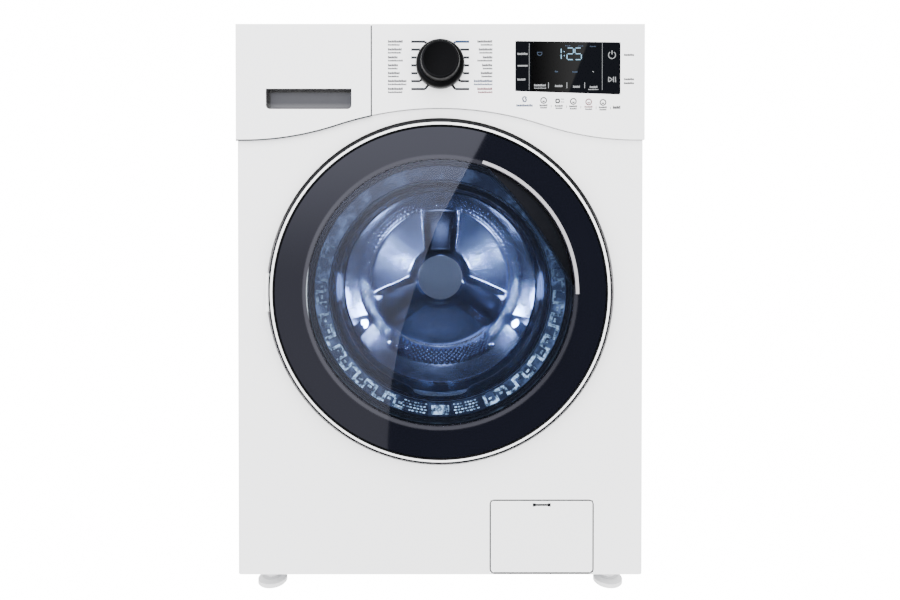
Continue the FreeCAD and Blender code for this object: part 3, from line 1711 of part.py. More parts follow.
os.makedirs("parts", exist_ok=True)
for part in PARTS:
    part.Shape.exportStep(os.path.join("parts", f"{part.Label}.step"))
print(len(PARTS), "sub-parts")
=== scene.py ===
"""Looks of a front-loading washing machine, built round its CAD frame. Metres, X right, Y back, Z up."""

import math

import bmesh
import bpy
from bpy.props import FloatProperty, FloatVectorProperty, PointerProperty
from mathutils import Matrix, Vector


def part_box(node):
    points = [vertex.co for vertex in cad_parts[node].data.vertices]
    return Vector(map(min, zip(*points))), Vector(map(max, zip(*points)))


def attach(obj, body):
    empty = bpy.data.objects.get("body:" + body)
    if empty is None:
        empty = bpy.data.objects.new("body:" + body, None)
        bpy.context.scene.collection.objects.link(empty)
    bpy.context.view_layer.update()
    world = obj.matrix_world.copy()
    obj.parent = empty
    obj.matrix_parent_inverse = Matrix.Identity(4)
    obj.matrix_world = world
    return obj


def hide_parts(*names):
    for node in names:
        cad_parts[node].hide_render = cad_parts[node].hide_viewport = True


bl_info = {
    "name": "Washing Machine Looks",
    "version": (1, 0, 0),
    "blender": (4, 5, 0),
    "location": "3D View > Sidebar > Washer",
    "description": "Builds the visible pieces, materials and studio of a front-loading washing machine",
    "category": "Add Mesh",
}

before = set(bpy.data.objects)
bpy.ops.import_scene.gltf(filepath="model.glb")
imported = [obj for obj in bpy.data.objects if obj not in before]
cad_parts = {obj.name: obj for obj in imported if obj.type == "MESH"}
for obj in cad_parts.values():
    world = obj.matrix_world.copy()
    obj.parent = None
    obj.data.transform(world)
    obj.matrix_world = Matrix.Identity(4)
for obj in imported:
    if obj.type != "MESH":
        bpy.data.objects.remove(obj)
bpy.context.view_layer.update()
MM = 0.001


# --------------------------------------------------------------------------- places taken from the frame
def middle(node):
    low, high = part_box(node)
    return (Vector(low) + Vector(high)) / 2


def front_of(node):
    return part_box(node)[0][1]


def back_of(node):
    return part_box(node)[1][1]


AXIS = Vector((0, 0, middle("door_ring").z))
CONSOLE_Y = front_of("console_panel")
WINDOW_Y = front_of("display_window")
WINDOW = [Vector(c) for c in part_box("display_window")]
KNOB = middle("program_knob")
DRUM_FRONT, DRUM_SHELL_BACK = front_of("drum_shell"), back_of("drum_shell")
DRUM_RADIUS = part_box("drum_shell")[1][0]
DRUM_BACK = back_of("drum_back")


# --------------------------------------------------------------------------- settings
def colour(name, description, default):
    return FloatVectorProperty(
        name=name, description=description, default=default, size=3, subtype="COLOR", min=0, max=1
    )


def length(name, description, default):
    return FloatProperty(
        name=name, description=description, default=default, unit="LENGTH", subtype="DISTANCE"
    )


class WASHER_PG_colours(bpy.types.PropertyGroup):
    """Colours of the washing machine."""

    enamel: colour("Enamel", "Painted cabinet and plastic console", (0.83, 0.83, 0.84))
    knob: colour("Knob", "Programme knob", (0.0015, 0.0015, 0.0015))
    border: colour("Door Border", "Print behind the rim of the door glass", (0.0010, 0.0010, 0.0022))
    steel: colour("Drum Steel", "Drum sheet", (0.42, 0.44, 0.49))
    lamp: colour("Lamp", "Light inside the drum", (0.60, 0.70, 1.0))
    recess: colour("Drawer Recess", "Drawer handle's inside", (0.05, 0.05, 0.051))


class WASHER_PG_sizes(bpy.types.PropertyGroup):
    """Sizes of the visible details."""

    print_proud: length("Print Height", "How far printed marks stand proud", 0.00008)
    mark_width: length("Mark Width", "Width of the programme lines", 0.0033)
    hub_radius: length("Hub Radius", "Disc in the middle of the drum's back", 0.048)
    arm_rise: length("Arm Rise", "How far the drum back's arms stand forward", 0.017)
    dimple: length("Dimple", "Depth of the drum's dimples", 0.003)
    seam_line: length("Seam Line", "Width of the shaded seams", 0.0021)


# --------------------------------------------------------------------------- shader maths
class Tree:
    """A material's node tree, with one method for every kind of node."""

    def __init__(self, material):
        material.use_nodes = True
        self.nodes, self.links = material.node_tree.nodes, material.node_tree.links
        self.nodes.clear()

    def plug(self, socket, value):
        if isinstance(value, Wire):
            self.links.new(value.socket, socket)
        elif isinstance(value, bpy.types.NodeSocket):
            self.links.new(value, socket)
        elif socket.type == "RGBA" and len(value) == 3:
            socket.default_value = (*value, 1)
        else:
            socket.default_value = value

    def node(self, kind, settings=None, **values):
        """Adds a node. Its sockets are named with underscores for spaces, or numbered as _0."""
        made = self.nodes.new(f"ShaderNode{kind}")
        for name, value in (settings or {}).items():
            setattr(made, name, value)
        for name, value in values.items():
            key = int(name[1:]) if name.startswith("_") else name.replace("_", " ")
            self.plug(made.inputs[key], value)
        return made

    def wire(self, kind, out=0, settings=None, **values):
        return Wire(self, self.node(kind, settings, **values).outputs[out])


class Wire:
    """A number on a socket. Arithmetic on it adds Math nodes."""

    def __init__(self, tree, socket):
        self.tree, self.socket = tree, socket

    def math(self, operation, *others):
        values = {f"_{i}": v for i, v in enumerate((self, *others))}
        return self.tree.wire("Math", settings={"operation": operation}, **values)

    def __add__(self, other):
        return self.math("ADD", other)

    __radd__ = __add__

    def __mul__(self, other):
        return self.math("MULTIPLY", other)

    __rmul__ = __mul__

    def __sub__(self, other):
        return self.math("SUBTRACT", other)

    def __rsub__(self, other):
        return self.math("MULTIPLY", -1).math("ADD", other)

    def step(self, low, high):
        """0 below low, 1 above high, smooth between."""
        return self.tree.wire(
            "MapRange",
            settings={"interpolation_type": "SMOOTHSTEP"},
            Value=self,
            From_Min=low,
            From_Max=high,
            To_Min=0.0,
            To_Max=1.0,
        )


def place(tree, centre=(0, 0, 0)):
    """X, Y and Z of a point, measured from centre."""
    here = tree.node("TexCoord").outputs["Object"]
    moved = tree.wire("VectorMath", settings={"operation": "SUBTRACT"}, _0=here, _1=tuple(centre))
    parts = tree.node("SeparateXYZ", Vector=moved)
    return [Wire(tree, parts.outputs[i]) for i in range(3)]


def noise(tree, scale, detail=3.0, roughness=0.5):
    here = tree.node("TexCoord").outputs["Object"]
    return tree.wire("TexNoise", Vector=here, Scale=scale, Detail=detail, Roughness=roughness)


def blend(tree, factor, dark, light):
    """A colour between two."""
    mixed = tree.node("Mix", {"data_type": "RGBA"})
    tree.plug(mixed.inputs[0], factor)
    tree.plug(mixed.inputs[6], dark)
    tree.plug(mixed.inputs[7], light)
    return mixed.outputs[2]


def bumped(tree, height, distance, strength=1.0):
    return tree.node("Bump", Height=height, Distance=distance, Strength=strength).outputs[0]


MATERIALS = {}


def finish(name, make):
    """The material of that name, made once."""
    if name not in MATERIALS:
        material = bpy.data.materials.new(name)
        tree = Tree(material)
        surface = make(tree)
        tree.links.new(surface, tree.node("OutputMaterial").inputs["Surface"])
        MATERIALS[name] = material
    return MATERIALS[name]


def coated(tree, base, rough, metallic=0.0, normal=None, coat=0.0, ior=1.5, **more):
    values = {"Base Color": base, "Roughness": rough, "Metallic": metallic, "Coat Weight": coat, "IOR": ior}
    values.update(more)
    made = tree.node("BsdfPrincipled")
    for name, value in values.items():
        tree.plug(made.inputs[name], value)
    if normal is not None:
        tree.plug(made.inputs["Normal"], normal)
    return made.outputs[0]


def lit(tree, base, rough, glow, strength):
    """A surface that gives light of its own."""
    return coated(tree, base, rough, **{"Emission Color": glow, "Emission Strength": strength})


def shade(base, share):
    return tuple(c * share for c in base)


def pale_coat(name, drift_scale, skin_scale, skin_depth, rough, coat, painted_shade_mask=None):
    """Pale smooth coat with a faint skin; the last argument, if given, gives where shade is painted near
    black.
    """

    def make(tree):
        base = settings().enamel
        tint = blend(tree, noise(tree, drift_scale, 2.0), tuple(shade(base, 0.985)), tuple(base))
        if painted_shade_mask:
            tint = blend(tree, painted_shade_mask(tree), tint, (0.001, 0.001, 0.001))
        skin = bumped(tree, noise(tree, skin_scale, 2.0), skin_depth, 0.5)
        return coated(tree, tint, noise(tree, 40.0) * 0.06 + rough, normal=skin, coat=coat)

    return finish(name, make)


def enamel():
    """Powder-coated sheet with a faint orange peel."""
    return pale_coat("enamel", 3.0, 900.0, 0.00002, 0.30, 0.25)


def front_enamel():
    """The cabinet's enamel, with painted shadow along the upper edge of the door recess."""

    def recess_painted_shadow(tree):
        radius, _, z = from_axis(tree)
        _, y, _ = place(tree)
        # Painted shadow: a dark crescent on the recess's upper edge round the door ring, fading towards the
        # sides.
        ring = radius.step(0.2445, 0.2470) * (1 - radius.step(0.2562, 0.2570))
        return ring * y.step(-0.2639, -0.2634) * z.step(0.03, 0.16)

    return pale_coat("front_enamel", 3.0, 900.0, 0.00002, 0.30, 0.1, recess_painted_shadow)


def console_plastic():
    """Smooth moulded plastic."""
    return pale_coat("console_plastic", 5.0, 1500.0, 0.00001, 0.24, 0.2)


def plastic(name, base, rough=0.4, grain=1200.0, depth=0.00002, ior=1.5):
    """Moulded plastic, with a fine grain if depth is given."""

    def make(tree):
        tint = blend(tree, noise(tree, 30.0), tuple(shade(base, 0.9)), tuple(base))
        skin = bumped(tree, noise(tree, grain, 2.0), depth, 0.6) if depth else None
        return coated(tree, tint, noise(tree, 80.0) * (0.3 * rough) + 0.85 * rough, normal=skin, ior=ior)

    return finish(name, make)


def metal(name, base, rough=0.3, depth=0.00001):
    """Bare metal with fine working marks."""

    def make(tree):
        marks = noise(tree, 400.0)
        tint = blend(tree, marks, tuple(shade(base, 0.88)), tuple(base))
        skin = bumped(tree, marks, depth, 0.4)
        return coated(tree, tint, marks * 0.12 + (rough - 0.06), metallic=1.0, normal=skin)

    return finish(name, make)


def galvanised():
    """Zinc-coated sheet with faint spangle."""

    def make(tree):
        here = tree.node("TexCoord").outputs["Object"]
        spangle = tree.wire("TexVoronoi", Vector=here, Scale=120.0)
        tint = blend(tree, spangle, (0.42, 0.44, 0.47), (0.55, 0.57, 0.6))
        return coated(tree, tint, spangle * 0.2 + 0.38, metallic=0.8)

    return finish("galvanised", make)


def rubber(name, base, rough=0.55):
    def make(tree):
        tint = blend(tree, noise(tree, 25.0), tuple(shade(base, 0.8)), tuple(base))
        skin = bumped(tree, noise(tree, 700.0, 3.0), 0.00003, 0.6)
        return coated(tree, tint, noise(tree, 60.0) * 0.12 + (rough - 0.06), normal=skin)

    return finish(name, make)


def glowing(name, base, strength):
    """A printed mark that is lit from behind; the door's bowl rim uses it as painted light."""

    def make(tree):
        level = noise(tree, 300.0) * 0.2
        tint = blend(tree, level, tuple(base), (1.0, 1.0, 1.0))
        return lit(tree, base, 0.4, tint, strength)

    return finish(name, make)


def ink(name, base):
    """Screen print; also the dark strips that are painted shadow in the seams."""

    def make(tree):
        tint = blend(tree, noise(tree, 200.0), tuple(base), tuple(shade(base, 0.85)))
        return coated(tree, tint, noise(tree, 400.0) * 0.1 + 0.35)

    return finish(name, make)


# Near-black colour of the strips laid in the seams as painted shadow.
def painted_seam_shadow():
    return ink("painted_seam_shadow", (0.010, 0.010, 0.010))


def from_axis(tree):
    """Distance from the door's axis, and the X and Z measured from it."""
    x, _, z = place(tree, AXIS)
    return (x * x + z * z).math("SQRT"), x, z


def cover_glass():
    """Flat door glass: printed dark round its rim, clear inside, with painted light on a band inside the
    rim and a painted glint at its left.
    """

    def make(tree):
        radius, x, z = from_axis(tree)
        rim = radius.step(0.1925, 0.1945)
        # Painted light: a band inside the rim is lightened, most towards the lower left where the light
        # falls.
        band = radius.step(0.1925, 0.196) * (1 - radius.step(0.1985, 0.2015))
        lower_left = (x + z).step(0.10, -0.12)
        drift = noise(tree, 8.0)
        border = blend(tree, drift, tuple(settings().border), tuple(shade(settings().border, 1.4)))
        lit = band * (lower_left * 0.4 + 0.6)
        print_and_painted_light = blend(tree, lit, border, (0.022, 0.022, 0.027))
        # Painted highlight: a thin glint on the band's inner edge, only at the left.
        inner_line = radius.step(0.1925, 0.1935) * (1 - radius.step(0.1940, 0.1950))
        glint = inner_line * (x * -1.0).step(0.190, 0.194)
        print_and_painted_light = blend(tree, glint, print_and_painted_light, (0.28, 0.32, 0.36))
        # This colour carries the painted light and the glint as well as the print.
        printed = coated(tree, print_and_painted_light, 0.04, ior=1.5)
        sheen = tree.node("BsdfGlossy", Roughness=0.02)
        clear = tree.node("BsdfTransparent", Color=(0.80, 0.84, 0.92))
        facing = tree.node("Fresnel", IOR=1.5)
        pane = tree.node("MixShader", _0=facing.outputs[0], _1=clear.outputs[0], _2=sheen.outputs[0])
        return tree.node("MixShader", _0=rim, _1=pane.outputs[0], _2=printed).outputs[0]

    return finish("cover_glass", make)


def ring_silver():
    """Bright ring with a black line along its inner edge."""

    def make(tree):
        radius, _, _ = from_axis(tree)
        silver = blend(tree, noise(tree, 60.0), (0.84, 0.84, 0.85), (0.90, 0.90, 0.91))
        return coated(tree, blend(tree, radius.step(0.2437, 0.2442), (0.002, 0.002, 0.002), silver), 0.12)

    return finish("ring_silver", make)


def bowl_glass():
    """Pressed glass, clear but for its reflections."""

    def make(tree):
        sheen = tree.node("BsdfGlossy", Roughness=noise(tree, 14.0, 1.0) * 0.02 + 0.03)
        clear = tree.node("BsdfTransparent", Color=(0.86, 0.90, 0.97))
        facing = Wire(tree, tree.node("Fresnel", IOR=1.45).outputs[0])
        mirrored = facing.step(0.02, 0.9) * 0.2
        return tree.node("MixShader", _0=mirrored, _1=clear.outputs[0], _2=sheen.outputs[0]).outputs[0]

    return finish("bowl_glass", make)


def drum_steel():
    """Polished stainless steel, with painted shade on the back's upper arm and low down, and painted light
    on a patch below the hub.
    """

    def make(tree):
        _, x, z = from_axis(tree)
        _, y, _ = place(tree)
        cloud = noise(tree, 9.0, 4.0)
        base = settings().steel
        tint = blend(tree, cloud, tuple(shade(base, 0.72)), tuple(base))
        reach = x.math("ABSOLUTE")
        deep = y.step(0.09, 0.10)
        # Painted shade on the back's upper arm and low down, and painted light on a patch below the hub.
        upper_arm_painted_shade = (1 - reach.step(0.026, 0.040)) * z.step(0.046, 0.054) * (1 - z.step(0.135, 0.16)) * deep
        foot = z.step(-0.13, -0.16) * (1 - reach.step(0.10, 0.16)) * deep
        middle = z.step(-0.045, -0.09) * z.step(-0.155, -0.11) * (1 - reach.step(0.0, 0.10)) * deep
        tint = blend(tree, upper_arm_painted_shade * 0.9, tint, (0.035, 0.035, 0.04))
        tint = blend(tree, foot * 0.6, tint, (0.06, 0.06, 0.07))
        tint = blend(tree, middle, tint, (0.92, 0.88, 0.86))
        skin = bumped(tree, cloud, 0.004, 0.35)
        return coated(tree, tint, cloud * 0.14 + 0.10, metallic=1.0, normal=skin)

    return finish("drum_steel", make)


def settings():
    return bpy.context.scene.washer_colours


def sizes():
    return bpy.context.scene.washer_sizes


# --------------------------------------------------------------------------- mesh helpers
def piece(name, mesh, material, body, smooth=True, bevel=0.0):
    """Makes an object of a bmesh, in place, and hands it to the frame."""
    bmesh.ops.recalc_face_normals(mesh, faces=mesh.faces)
    data = bpy.data.meshes.new(name)
    mesh.to_mesh(data)
    mesh.free()
    data.materials.append(material)
    made = bpy.data.objects.new(name, data)
    bpy.context.scene.collection.objects.link(made)
    if smooth:
        data.shade_smooth()
        data.set_sharp_from_angle(angle=math.radians(38))
    if bevel:
        rounding = made.modifiers.new("Bevel", "BEVEL")
        rounding.width, rounding.segments, rounding.limit_method = bevel, 2, "ANGLE"
    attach(made, body)
    return made


def turned(profile, centre=AXIS, steps=160):
    """Spins a profile of (y, radius) round an axis along Y."""
    mesh = bmesh.new()
    verts = [mesh.verts.new((radius, y, centre.z)) for y, radius in profile]
    edges = [mesh.edges.new(pair) for pair in zip(verts, verts[1:])]
    if centre.x:
        bmesh.ops.translate(mesh, verts=mesh.verts, vec=(centre.x, 0, 0))
    bmesh.ops.spin(
        mesh,
        geom=verts + edges,
        cent=(centre.x, 0, centre.z),
        axis=(0, 1, 0),
        angle=2 * math.pi,
        steps=steps,
        use_merge=True,
    )
    bmesh.ops.remove_doubles(mesh, verts=mesh.verts, dist=1e-6)
    return mesh


def stroke(mesh, start, end, width, front, back):
    """A thin bar from start to end, both (x, z), between two depths."""
    run = Vector((end[0] - start[0], 0, end[1] - start[1]))
    centre = Vector(((start[0] + end[0]) / 2, (front + back) / 2, (start[1] + end[1]) / 2))
    turn = Matrix.Rotation(-math.atan2(run.z, run.x), 4, "Y")
    scale = Matrix.Diagonal((run.length, back - front, width, 1))
    bmesh.ops.create_cube(mesh, size=1, matrix=Matrix.Translation(centre) @ turn @ scale)


def path(mesh, points, width, front, back):
    for start, end in zip(points, points[1:]):
        stroke(mesh, start, end, width, front, back)


def loop(mesh, centre, radius, width, front, back, start=0, end=360, steps=14):
    """A bent stroke along a circle."""
    turns = [math.radians(start + (end - start) * i / steps) for i in range(steps + 1)]
    points = [(centre[0] + radius * math.cos(a), centre[1] + radius * math.sin(a)) for a in turns]
    path(mesh, points, width, front, back)


def rounded(mesh, edges, radius, segments):
    bmesh.ops.bevel(
        mesh, geom=edges, offset=radius, segments=segments, affect="EDGES", profile=0.5, material=-1
    )


def smooth(low, high, value):
    """0 at low, 1 at high, smooth between; low may be the larger."""
    share = min(1.0, max(0.0, (value - low) / (high - low)))
    return share * share * (3 - 2 * share)


def paint(nodes, material):
    """Gives CAD nodes a material."""
    for name in nodes:
        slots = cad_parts[name].data.materials
        slots.clear()
        slots.append(material)


# --------------------------------------------------------------------------- pieces
class Piece(bpy.types.Operator):
    """One piece or group of pieces."""

    bl_options = {"REGISTER", "UNDO"}

    def execute(self, context):
        self.make()
        return {"FINISHED"}


class WASHER_OT_cabinet(Piece):
    """Finish the cabinet, its base, back and feet"""

    bl_idname = "washer.cabinet"
    bl_label = "Cabinet"

    def make(self):
        paint(("left_side_panel", "right_side_panel"), enamel())
        paint(("front_panel",), front_enamel())
        paint(("top_plate", "console_panel", "drawer_front", "filter_flap"), console_plastic())
        paint(("door_hinge_leaf", "door_hinge_bracket"), enamel())
        paint(("rear_panel", "rear_cover", "base_pan", "spring_brackets"), galvanised())
        paint(("rear_screws", "gasket_clamp", "latch_hook"), metal("screw_steel", (0.5, 0.5, 0.52), 0.35))
        black = plastic("black_plastic", (0.02, 0.02, 0.022))
        paint(("cord_gland", "door_lock", "damper_cylinders"), black)
        feet = [f"{end}_{side}_foot" for end in ("front", "rear") for side in ("left", "right")]
        paint(feet, rubber("foot_rubber", (0.78, 0.78, 0.79)))


class WASHER_OT_works(Piece):
    """Finish the tub, drive, suspension and water parts"""

    bl_idname = "washer.works"
    bl_label = "Works"

    def make(self):
        paint(("tub_front", "tub_rear"), plastic("tub_plastic", (0.5, 0.51, 0.5), 0.55, 500.0, 0.00005))
        cast = plastic("cast_weight", (0.28, 0.27, 0.26), 0.85, 160.0, 0.0006)
        paint(("front_counterweight", "top_counterweight"), cast)
        steel = metal("shaft_steel", (0.55, 0.55, 0.57), 0.25)
        paint(("drum_bearings", "drum_shaft", "motor_rotor"), steel)
        paint(("tub_heater", "damper_rods", "suspension_springs"), steel)
        cast_metal = metal("cast_aluminium", (0.62, 0.62, 0.64), 0.5, depth=0.0001)
        paint(("drum_spider", "drum_pulley"), cast_metal)
        paint(("motor_housing",), plastic("motor_paint", (0.03, 0.03, 0.035), 0.45))
        paint(("drive_belt",), rubber("belt_rubber", (0.02, 0.02, 0.02)))
        paint(("sump_hose", "drain_hose", "inlet_hose"), rubber("hose_rubber", (0.16, 0.16, 0.17)))
        moulded = plastic("pump_plastic", (0.33, 0.35, 0.38), 0.45)
        paint(("pump_housing", "pump_impeller", "filter_cap", "inlet_valve"), moulded)
        paint(("drawer_tray", "drawer_housing"), plastic("drawer_plastic", (0.5, 0.51, 0.53), 0.4))
        paint(("control_board",), plastic("board_green", (0.02, 0.10, 0.05), 0.4))


class WASHER_OT_knob(Piece):
    """Turn the programme knob"""

    bl_idname = "washer.knob"
    bl_label = "Programme Knob"

    def make(self):
        front, back, radius = front_of("program_knob"), CONSOLE_Y - 0.5 * MM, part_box("program_knob")[1][0]
        steps = ((0, -34), (0, -1.2), (0.6, -0.2), (1.4, 0), (11, 0))
        steps += ((13, -0.8), (15, -2.4), (16, -4.4), (17, -6.4))
        profile = [(back - y * MM, radius + r * MM) for y, r in steps]
        crown = ((6, -7.4), (2.2, -8.0), (0.9, -8.5), (0.3, -9.2), (0, -10.2), (0.1, -11.2))
        profile += [(front + y * MM, radius + r * MM) for y, r in crown]
        mesh = turned(profile, KNOB, 96)
        black = plastic("knob_black", tuple(settings().knob), 0.3, depth=0, ior=1.2)
        made = piece("programme_knob_turned", mesh, black, "knob")
        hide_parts("program_knob")
        hollow = front + 0.7 * MM
        face = [(front + 0.1 * MM, radius - 11.2 * MM), (hollow, radius - 12.4 * MM), (hollow, 0.0)]
        matt = plastic("knob_face_black", tuple(settings().knob), 0.4, depth=0, ior=1.13)
        piece("programme_knob_face", turned(face, KNOB, 96), matt, "knob")


def words(mesh, start, end, height, tall, front, back):
    """A label stood in for by a row of short upright dashes."""
    low, high = min(start, end), max(start, end)
    shapes = ((1.3, 1.0), (1.1, 0.8), (1.5, 0.8), (1.0, 0.8), (1.4, 0.95), (1.2, 0.8), (0.9, 1.0))
    x, count = low, 0
    while x < high - 0.5 * MM:
        wide, share = shapes[count % len(shapes)]
        stop = min(x + wide * MM, high)
        centre = height + (share - 0.8) * tall / 2
        stroke(mesh, (x, centre), (stop, centre), tall * share, front, back)
        x = stop + 0.25 * MM
        count += 1


class WASHER_OT_console_print(Piece):
    """Print the programme lines and marks on the console"""

    bl_idname = "washer.console_print"
    bl_label = "Console Print"

    def make(self):
        self.front, self.back = CONSOLE_Y - sizes().print_proud, CONSOLE_Y + 0.02 * MM
        self.dark, self.grey, self.blue, self.red = (bmesh.new() for _ in range(4))
        self.programmes()
        self.lower_row()
        for height in (804.5, 769.0, 763.2):
            self.label(WINDOW[1].x + 5.5 * MM, WINDOW[1].x + 20.5 * MM, height * MM, 3.0)
        for mesh, name, base in (
            (self.dark, "console_lines", (0.002, 0.002, 0.002)),
            (self.grey, "console_labels", (0.003, 0.003, 0.003)),
            (self.blue, "console_blue_marks", (0.0005, 0.022, 0.075)),
            (self.red, "console_red_marks", (0.13, 0.012, 0.022)),
        ):
            piece(name, mesh, ink(f"{name}_ink", base), "cabinet", smooth=False)

    def label(self, start, end, height, tall, mesh=None):
        words(mesh or self.grey, start, end, height, tall * MM, self.front, self.back)

    def line(self, mesh, *points, width=None):
        path(mesh, points, width or sizes().mark_width, self.front, self.back)

    def programmes(self):
        """The lines either side of the knob and their labels. The outermost lines bend towards the knob."""
        pitch, knob_reach = 11.55 * MM, 36.5 * MM
        label_reach = ((22, 17), (20, 19), (14, 22), (15, 14), (17, 16), (27, 27), (22, 21))
        middle_row = 3
        for row, reaches in enumerate(label_reach):
            drop = (row - middle_row) * pitch
            height = KNOB.z - drop
            fall = math.copysign(1, drop) * MM
            for side in (-1, 1):
                mesh = self.blue if side > 0 and row == 0 else self.dark
                start = (side * 42.5 * MM, height)
                if abs(row - middle_row) == 3:
                    bend = (side * 22 * MM, height)
                    self.line(mesh, start, bend, (side * 18 * MM, height + 5.5 * fall))
                elif abs(row - middle_row) == 2:
                    bend = (side * 29.5 * MM, height)
                    self.line(mesh, start, bend, (side * 27 * MM, height + 2.6 * fall))
                else:
                    near = math.sqrt(knob_reach**2 - drop**2) - 1 * MM
                    self.line(mesh, start, (side * near, height))
                tint = {5: self.blue, 6: self.red}.get(row, self.grey) if side > 0 else self.grey
                far = 76.5 * MM
                for reach, below, tall in zip(reaches, (0.0, 4.8), (3.6, 2.6)):
                    self.label(side * (far - reach * MM), side * far, height - below * MM, tall, tint)

    def lower_row(self):
        """The row of small symbols under the display."""
        top, slope = WINDOW[0].z - 7.6 * MM, -0.033
        places = (13.5, 41.5, 64, 85, 107.5, 128.5)
        tints = (self.blue, self.grey, self.dark, self.grey, self.red, self.grey)
        for along, mesh in zip(places, tints):
            x, z = WINDOW[0].x + along * MM, top + slope * along * MM
            if mesh is self.blue:
                loop(mesh, (x, z + 1.6 * MM), 2.9 * MM, 1.9 * MM, self.front, self.back, 20, 250, 8)
                loop(mesh, (x, z - 0.2 * MM), 2.6 * MM, 1.9 * MM, self.front, self.back, 200, 430, 8)
                self.label(x - 12 * MM, x + 12 * MM, z - 8.5 * MM, 3.4, mesh)
                continue
            if mesh is self.dark:
                loop(mesh, (x - 2 * MM, z), 3.4 * MM, 2.0 * MM, self.front, self.back, 45, 405, 4)
                for rise in (2.6, -1.6):
                    self.label(x + 3 * MM, x + 7.5 * MM, z + rise * MM, 1.4)
            else:
                loop(mesh, (x, z), 4.2 * MM, 1.6 * MM, self.front, self.back)
                loop(mesh, (x, z), 1.6 * MM, 1.8 * MM, self.front, self.back, 200, 340, 5)
            self.label(x - 6 * MM, x + 6 * MM, z - 7.4 * MM, 2.6, mesh if mesh is self.red else self.grey)
            self.label(x - 5 * MM, x + 5 * MM, z - 10.8 * MM, 2.3)
            bar = x + 11 * MM
            self.line(self.grey, (bar, z - 10.2 * MM), (bar, z - 6.8 * MM), width=0.7 * MM)
        self.label(WINDOW[0].x + 143 * MM, WINDOW[0].x + 154 * MM, WINDOW[0].z - 19.5 * MM, 4.5, self.dark)


class WASHER_OT_display(Piece):
    """Finish the display window and its lit signs"""

    bl_idname = "washer.display"
    bl_label = "Display"

    def make(self):
        paint(("display_window",), plastic("window_black", (0.0006, 0.0006, 0.0007), 0.03, depth=0))
        front, back = WINDOW_Y - sizes().print_proud, WINDOW_Y + 0.02 * MM
        white, lit = bmesh.new(), bmesh.new()
        left, top = WINDOW[0].x, WINDOW[1].z
        digits = {"1": "bc", "2": "abged", "5": "afgcd"}

        def at(x, z):
            """A point measured in millimetres from the window's top left corner."""
            return left + x * MM, top - z * MM

        for x, sign in ((57.7, "1"), (75.6, "2"), (87.2, "5")):
            self.digit(lit, at(x, 10.2), digits[sign], 9.4 * MM, 17.0 * MM, front, back)
        for z in (15.5, 21.5):
            stroke(lit, at(70.9, z), at(72.1, z), 1.4 * MM, front, back)
        for x in (20.2, 127.2):
            stroke(white, at(x, 3.4), at(x, 71.5), 0.5 * MM, front, back)
        for x in (48.5, 75.5, 101.5):
            stroke(white, at(x, 60.5), at(x, 69.0), 0.9 * MM, front, back)
        signs = ((3, 17.5, 15), (3, 55, 12), (27.5, 63.5, 17))
        signs += ((58, 64.5, 11), (84.5, 65.5, 10), (109, 66, 11))
        for x, z, reach in signs:
            self.label(white, at(x, z), reach * MM, 3.0 * MM, front, back)
        for x, z, reach in ((27.5, 68.3, 18), (107.0, 70.3, 15)):
            self.label(white, at(x, z), reach * MM, 1.4 * MM, front, back)
        stroke(white, at(3.2, 36.2), at(17.8, 36.2), 2.0 * MM, front, back)
        power = at(141.5, 20.5)
        loop(white, power, 5.2 * MM, 1.2 * MM, front, back, -235, 55, 18)
        stem = [(power[0], power[1] + rise * MM) for rise in (1.0, 6.6)]
        stroke(white, *stem, 1.3 * MM, front, back)
        run = at(136.5, 60.0)
        arrow = [(run[0] + x * MM, run[1] + z * MM) for x, z in ((0, 0), (0, 7.6), (5.4, 3.8), (0, 0))]
        path(white, arrow, 1.1 * MM, front, back)
        for x in (7.2, 10.2):
            bar = [(run[0] + x * MM, run[1] + z * MM) for z in (0, 7.6)]
            stroke(white, *bar, 1.3 * MM, front, back)
        dim = bmesh.new()
        loop(dim, at(35.5, 17.8), 3.4 * MM, 1.2 * MM, front, back, 180, 360, 8)
        stroke(dim, at(31.5, 16.6), at(39.5, 16.6), 1.0 * MM, front, back)
        hints = ((58, 43.6, 5, 2.4), (83.5, 44.2, 8, 2.4))
        hints += ((73, 6.4, 8, 1.6), (92, 6.6, 8, 1.6), (109, 7.2, 9, 1.6))
        for x, z, reach, tall in hints:
            self.label(dim, at(x, z), reach * MM, tall * MM, front, back)
        stroke(white, at(113.0, 44.0), at(114.6, 45.6), 1.0 * MM, front, back)
        for name, mesh, base, strength in (
            ("display_white_signs", white, (0.16, 0.165, 0.17), 0.10),
            ("display_digits", lit, (0.10, 0.22, 0.32), 0.8),
            ("display_dim_signs", dim, (0.010, 0.022, 0.045), 0.10),
        ):
            glow = glowing(f"{name}_glow", base, strength)
            piece(name, mesh, glow, "cabinet", smooth=False)

    def label(self, mesh, corner, reach, tall, front, back):
        words(mesh, corner[0], corner[0] + reach, corner[1] - tall / 2, tall, front, back)

    def digit(self, mesh, corner, segments, wide, tall, front, back):
        """A seven-segment numeral with its top left corner at corner."""
        x0, z0 = corner
        x1, zm, z1 = x0 + wide, z0 - tall / 2, z0 - tall
        lines = {
            "a": ((x0, z0), (x1, z0)),
            "b": ((x1, z0), (x1, zm)),
            "c": ((x1, zm), (x1, z1)),
            "d": ((x0, z1), (x1, z1)),
            "e": ((x0, zm), (x0, z1)),
            "f": ((x0, z0), (x0, zm)),
            "g": ((x0, zm), (x1, zm)),
        }
        for letter in segments:
            start, end = (Vector(p) for p in lines[letter])
            inset = (end - start).normalized() * 1.1 * MM
            stroke(mesh, start + inset, end - inset, 1.2 * MM, front, back)


